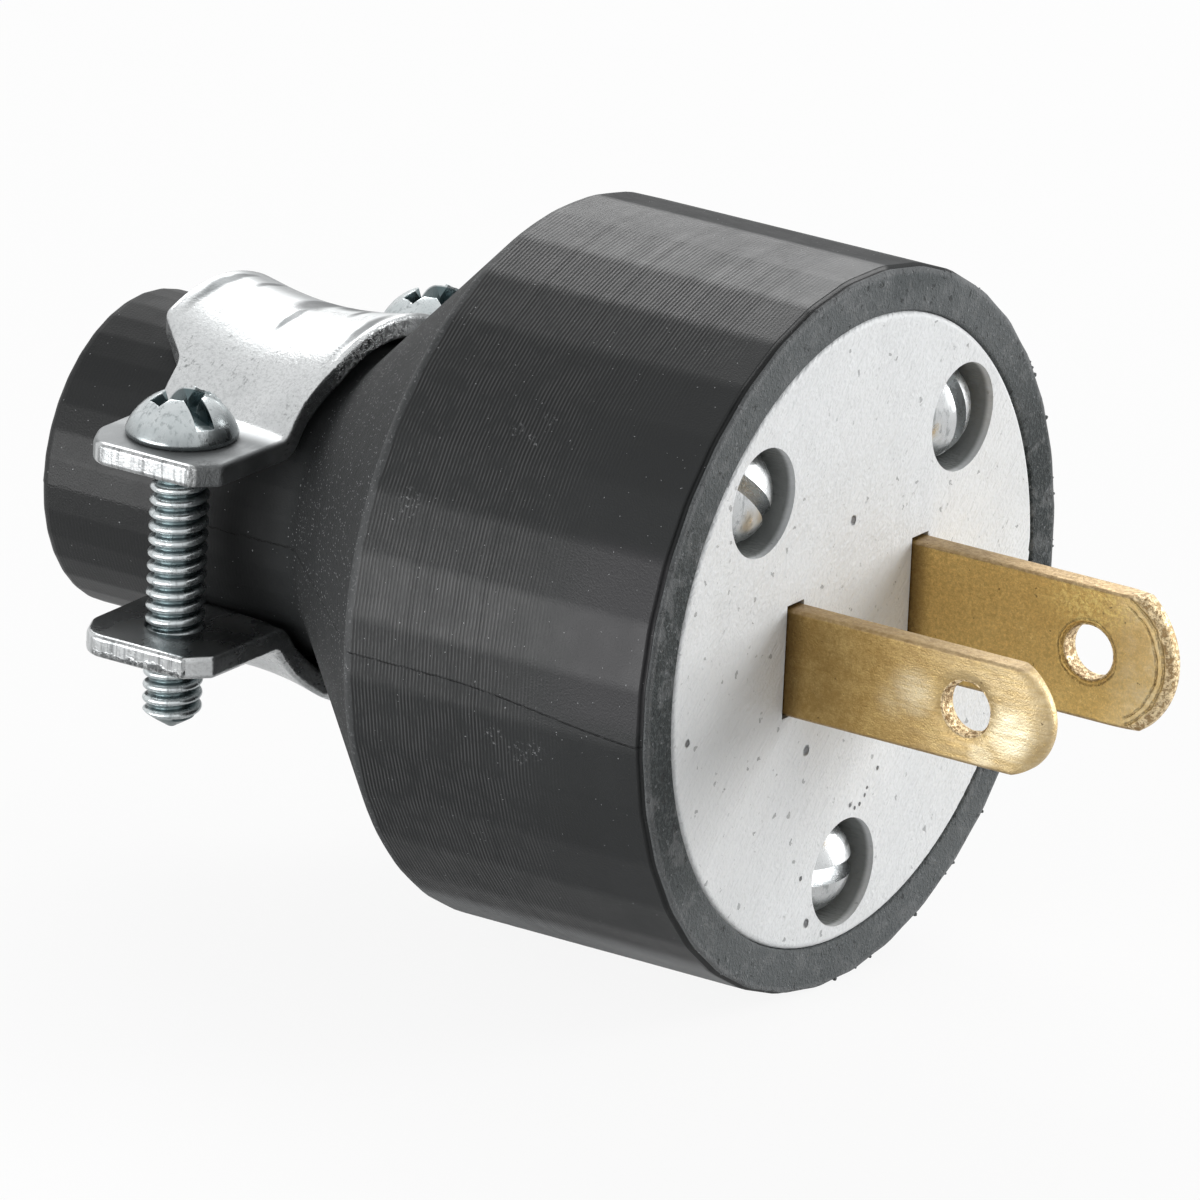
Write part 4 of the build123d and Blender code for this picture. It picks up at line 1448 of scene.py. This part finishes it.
SETTINGS = (
    ("plug_shell", PlugShellSettings),
    ("plug_cover", PlugCoverSettings),
    ("plug_blades", PlugBladeSettings),
    ("plug_clamp", PlugClampSettings),
    ("plug_stage", PlugStageSettings),
)


# Operators, one for each piece or group of like pieces

class PLUG_OT_shell(bpy.types.Operator):
    """Make the ribbed rubber shell with its rim flash"""
    bl_idname = "plug.shell"
    bl_label = "Rubber shell"

    def execute(self, context):
        settings = context.scene.plug_shell
        rubber = rubber_finish(settings)
        place(build_shell(settings), rubber, "shell_rubber", ["rubber_shell"])
        place(build_rim_flash(settings), rubber, "shell_rubber")
        return {"FINISHED"}


class PLUG_OT_cover(bpy.types.Operator):
    """Finish the front cover"""
    bl_idname = "plug.cover"
    bl_label = "Front cover"

    def execute(self, context):
        paint_nodes(["front_cover"], cover_finish(context.scene.plug_cover))
        return {"FINISHED"}


class PLUG_OT_blades(bpy.types.Operator):
    """Make the two brass blades with their rolled edges and punched holes"""
    bl_idname = "plug.blades"
    bl_label = "Blades"

    def execute(self, context):
        settings = context.scene.plug_blades
        brass = brass_finish(settings)
        forms = (
            ("blade_narrow", -1, settings.narrow_width, settings.narrow_tip, True),
            ("blade_wide", 1, settings.wide_width, settings.wide_tip, False),
        )
        for node, side, width, tip_radius, soft in forms:
            blade = build_blade(node + "_worn", side, width, tip_radius, settings, soft)
            place(blade, brass, "blade_brass", [node])
        paint_nodes(["pressure_plate_narrow", "pressure_plate_wide"], brass)
        paint_nodes(["threaded_insert_left", "threaded_insert_right", "threaded_insert_bottom"], brass)
        return {"FINISHED"}


class PLUG_OT_clamp(bpy.types.Operator):
    """Finish the two saddles of the cord clamp"""
    bl_idname = "plug.clamp"
    bl_label = "Cord clamp"

    def execute(self, context):
        zinc = sheet_zinc_finish(context.scene.plug_clamp)
        paint_nodes(["clamp_saddle_upper", "clamp_saddle_lower"], zinc)
        return {"FINISHED"}


class PLUG_OT_screws(bpy.types.Operator):
    """Make the threaded clamp screws and finish the cover and terminal screws"""
    bl_idname = "plug.screws"
    bl_label = "Screws"

    def execute(self, context):
        settings = context.scene.plug_clamp
        steel = screw_zinc_finish(settings, "screw_zinc", settings.screw_light, settings.screw_dark)
        bright = screw_zinc_finish(settings, "bright_zinc", settings.plate_light, settings.plate_dark)
        for name, side in (("near", -1), ("far", 1)):
            centre = (settings.screw_x, side * settings.screw_offset)
            node = "clamp_screw_" + name
            place(build_head(node + "_head", centre, settings), steel, "screw_steel", [node])
            place(build_thread(node + "_thread", centre, settings), steel, "screw_steel", [node])
        paint_nodes(["cover_screw_left", "cover_screw_right", "cover_screw_bottom"], bright)
        paint_nodes(["terminal_screw_narrow", "terminal_screw_wide"], bright)
        return {"FINISHED"}


class PLUG_OT_inside(bpy.types.Operator):
    """Finish the terminal base inside"""
    bl_idname = "plug.inside"
    bl_label = "Terminal base"

    def execute(self, context):
        paint_nodes(["terminal_base"], plain_nylon_finish("black_nylon", (0.03, 0.03, 0.03)))
        return {"FINISHED"}


# The stage: camera, surround, floor and lamps

CAMERA_TURNS = (33.232, 18.937, 2.681)
CAMERA_AWAY = 900.7
CAMERA_LEFT = 14.347
CAMERA_UP = 1.762
FLOOR_HEIGHT = -21.03
FLOOR_REACH = 3000


def camera_view():
    """The camera's place and turn, from the fit of the photograph."""
    azimuth, elevation, roll = (math.radians(turn) for turn in CAMERA_TURNS)
    back = Vector((
        math.sin(azimuth) * math.cos(elevation),
        -math.cos(azimuth) * math.cos(elevation),
        math.sin(elevation),
    ))
    level = Vector((math.cos(azimuth), math.sin(azimuth), 0.0))
    upright = back.cross(level)
    right = level * math.cos(roll) + upright * math.sin(roll)
    up = upright * math.cos(roll) - level * math.sin(roll)
    position = (back * CAMERA_AWAY - right * CAMERA_LEFT + up * CAMERA_UP) * MM
    turn = Matrix((right, up, back)).transposed().to_4x4()
    return Matrix.Translation(position) @ turn


def soft_light(name, place_at, target, size, power):
    """A rectangular area lamp aimed at a point, in metres."""
    lamp = bpy.data.lights.new(name, "AREA")
    lamp.shape = "RECTANGLE"
    lamp.size, lamp.size_y = size
    lamp.energy = power
    obj = bpy.data.objects.new(name, lamp)
    direction = Vector(target) - Vector(place_at)
    obj.matrix_world = Matrix.Translation(place_at) @ direction.to_track_quat("-Z", "Y").to_matrix().to_4x4()
    bpy.context.scene.collection.objects.link(obj)


def set_camera(scene):
    """The camera of the photograph's view."""
    camera = bpy.data.cameras.new("photo_camera")
    camera.lens = 480.6
    camera.sensor_width = 36.0
    camera.clip_start = 0.05
    camera.clip_end = 50.0
    obj = bpy.data.objects.new("photo_camera", camera)
    obj.matrix_world = camera_view()
    scene.collection.objects.link(obj)
    scene.camera = obj


def set_surround(scene, settings):
    """Even light all round, which looks white where it is seen straight or mirrored."""
    world = bpy.data.worlds.new("white_surround")
    world.use_nodes = True
    nodes = Nodes(world.node_tree)
    path = nodes.add("LightPath").outputs
    seen = nodes.most(path["Is Camera Ray"], path["Is Glossy Ray"], path["Is Transmission Ray"])
    strength = nodes.spread(seen, 0.0, 1.0, settings.sky, 1.0)
    nodes.feed(world.node_tree.nodes["Background"], {"Color": WHITE, "Strength": strength})
    scene.world = world


def add_floor(settings):
    """A pale floor that looks nearly white to the camera and dimmer in mirror light."""
    low, high = -FLOOR_REACH, FLOOR_REACH
    corners = [(x, y, FLOOR_HEIGHT) for x, y in ((low, low), (high, low), (high, high), (low, high))]
    floor = add_mesh("floor", corners, [(0, 1, 2, 3)], smooth=False)
    material, nodes, shader, vector = new_material("pale_floor")
    nodes.feed(shader, {"Base Color": (*settings.floor_color, 1.0), "Roughness": 0.9})
    white = nodes.add("Emission")
    nodes.feed(white, {"Color": WHITE, "Strength": 1.0})
    path = nodes.add("LightPath").outputs
    # A painted glow seen only in mirror rays: strong in front of x = -20 mm and weak behind x = -32 mm, as
    # painted shade of the floor round the neck
    mirrored = nodes.spread(nodes.split(vector)[0], -0.032, -0.020, 0.08, 0.37)
    share = nodes.most(nodes.times(path["Is Camera Ray"], 0.90), nodes.times(path["Is Glossy Ray"], mirrored))
    blend = nodes.add("MixShader")
    nodes.feed(blend, {0: share, 1: shader.outputs[0], 2: white.outputs[0]})
    nodes.link(blend.outputs[0], material.node_tree.nodes["Material Output"].inputs["Surface"])
    paint(floor, material)


def add_lamps(settings):
    """The three lamps: their places, targets and sizes in metres."""
    middle = (-0.015, 0.0, 0.0)
    shoulder = (-0.03, -0.012, 0.001)
    soft_light("back_light", (-0.52, 0.65, 0.60), middle, (0.66, 0.52), settings.back_power)
    soft_light("side_light", (-0.085, -0.115, -0.001), shoulder, (0.13, 0.054), settings.side_power)
    soft_light("key_light", (0.68, 0.74, 0.28), middle, (0.6, 0.6), settings.key_power)


class PLUG_OT_stage(bpy.types.Operator):
    """Set up the floor, the white surround, the lamps and the camera"""
    bl_idname = "plug.stage"
    bl_label = "Stage"

    def execute(self, context):
        scene = context.scene
        settings = scene.plug_stage
        scene.view_settings.view_transform = "Standard"
        set_camera(scene)
        set_surround(scene, settings)
        add_floor(settings)
        add_lamps(settings)
        return {"FINISHED"}


OPERATORS = (
    PLUG_OT_shell, PLUG_OT_cover, PLUG_OT_blades, PLUG_OT_clamp,
    PLUG_OT_screws, PLUG_OT_inside, PLUG_OT_stage,
)


class PLUG_PT_pieces(bpy.types.Panel):
    """Lists the plug's sizes and the steps that make it"""
    bl_idname = "PLUG_PT_pieces"
    bl_label = "Straight Blade Plug"
    bl_space_type = "VIEW_3D"
    bl_region_type = "UI"
    bl_category = "Plug"

    def draw(self, context):
        for name, group in SETTINGS:
            box = self.layout.box()
            settings = getattr(context.scene, name)
            for key in group.__annotations__:
                box.prop(settings, key)
        for operator in OPERATORS:
            self.layout.operator(operator.bl_idname)


def register():
    """Adds the settings, the steps and the panel to Blender."""
    for name, group in SETTINGS:
        bpy.utils.register_class(group)
        setattr(bpy.types.Scene, name, bpy.props.PointerProperty(type=group))
    for operator in OPERATORS:
        bpy.utils.register_class(operator)
    bpy.utils.register_class(PLUG_PT_pieces)


def unregister():
    """Takes them away again."""
    bpy.utils.unregister_class(PLUG_PT_pieces)
    for operator in reversed(OPERATORS):
        bpy.utils.unregister_class(operator)
    for name, group in reversed(SETTINGS):
        delattr(bpy.types.Scene, name)
        bpy.utils.unregister_class(group)


def main():
    """Makes the whole plug on its stage."""
    register()
    bpy.ops.plug.stage()
    bpy.ops.plug.shell()
    bpy.ops.plug.cover()
    bpy.ops.plug.blades()
    bpy.ops.plug.clamp()
    bpy.ops.plug.screws()
    bpy.ops.plug.inside()


if __name__ == "__main__":
    main()
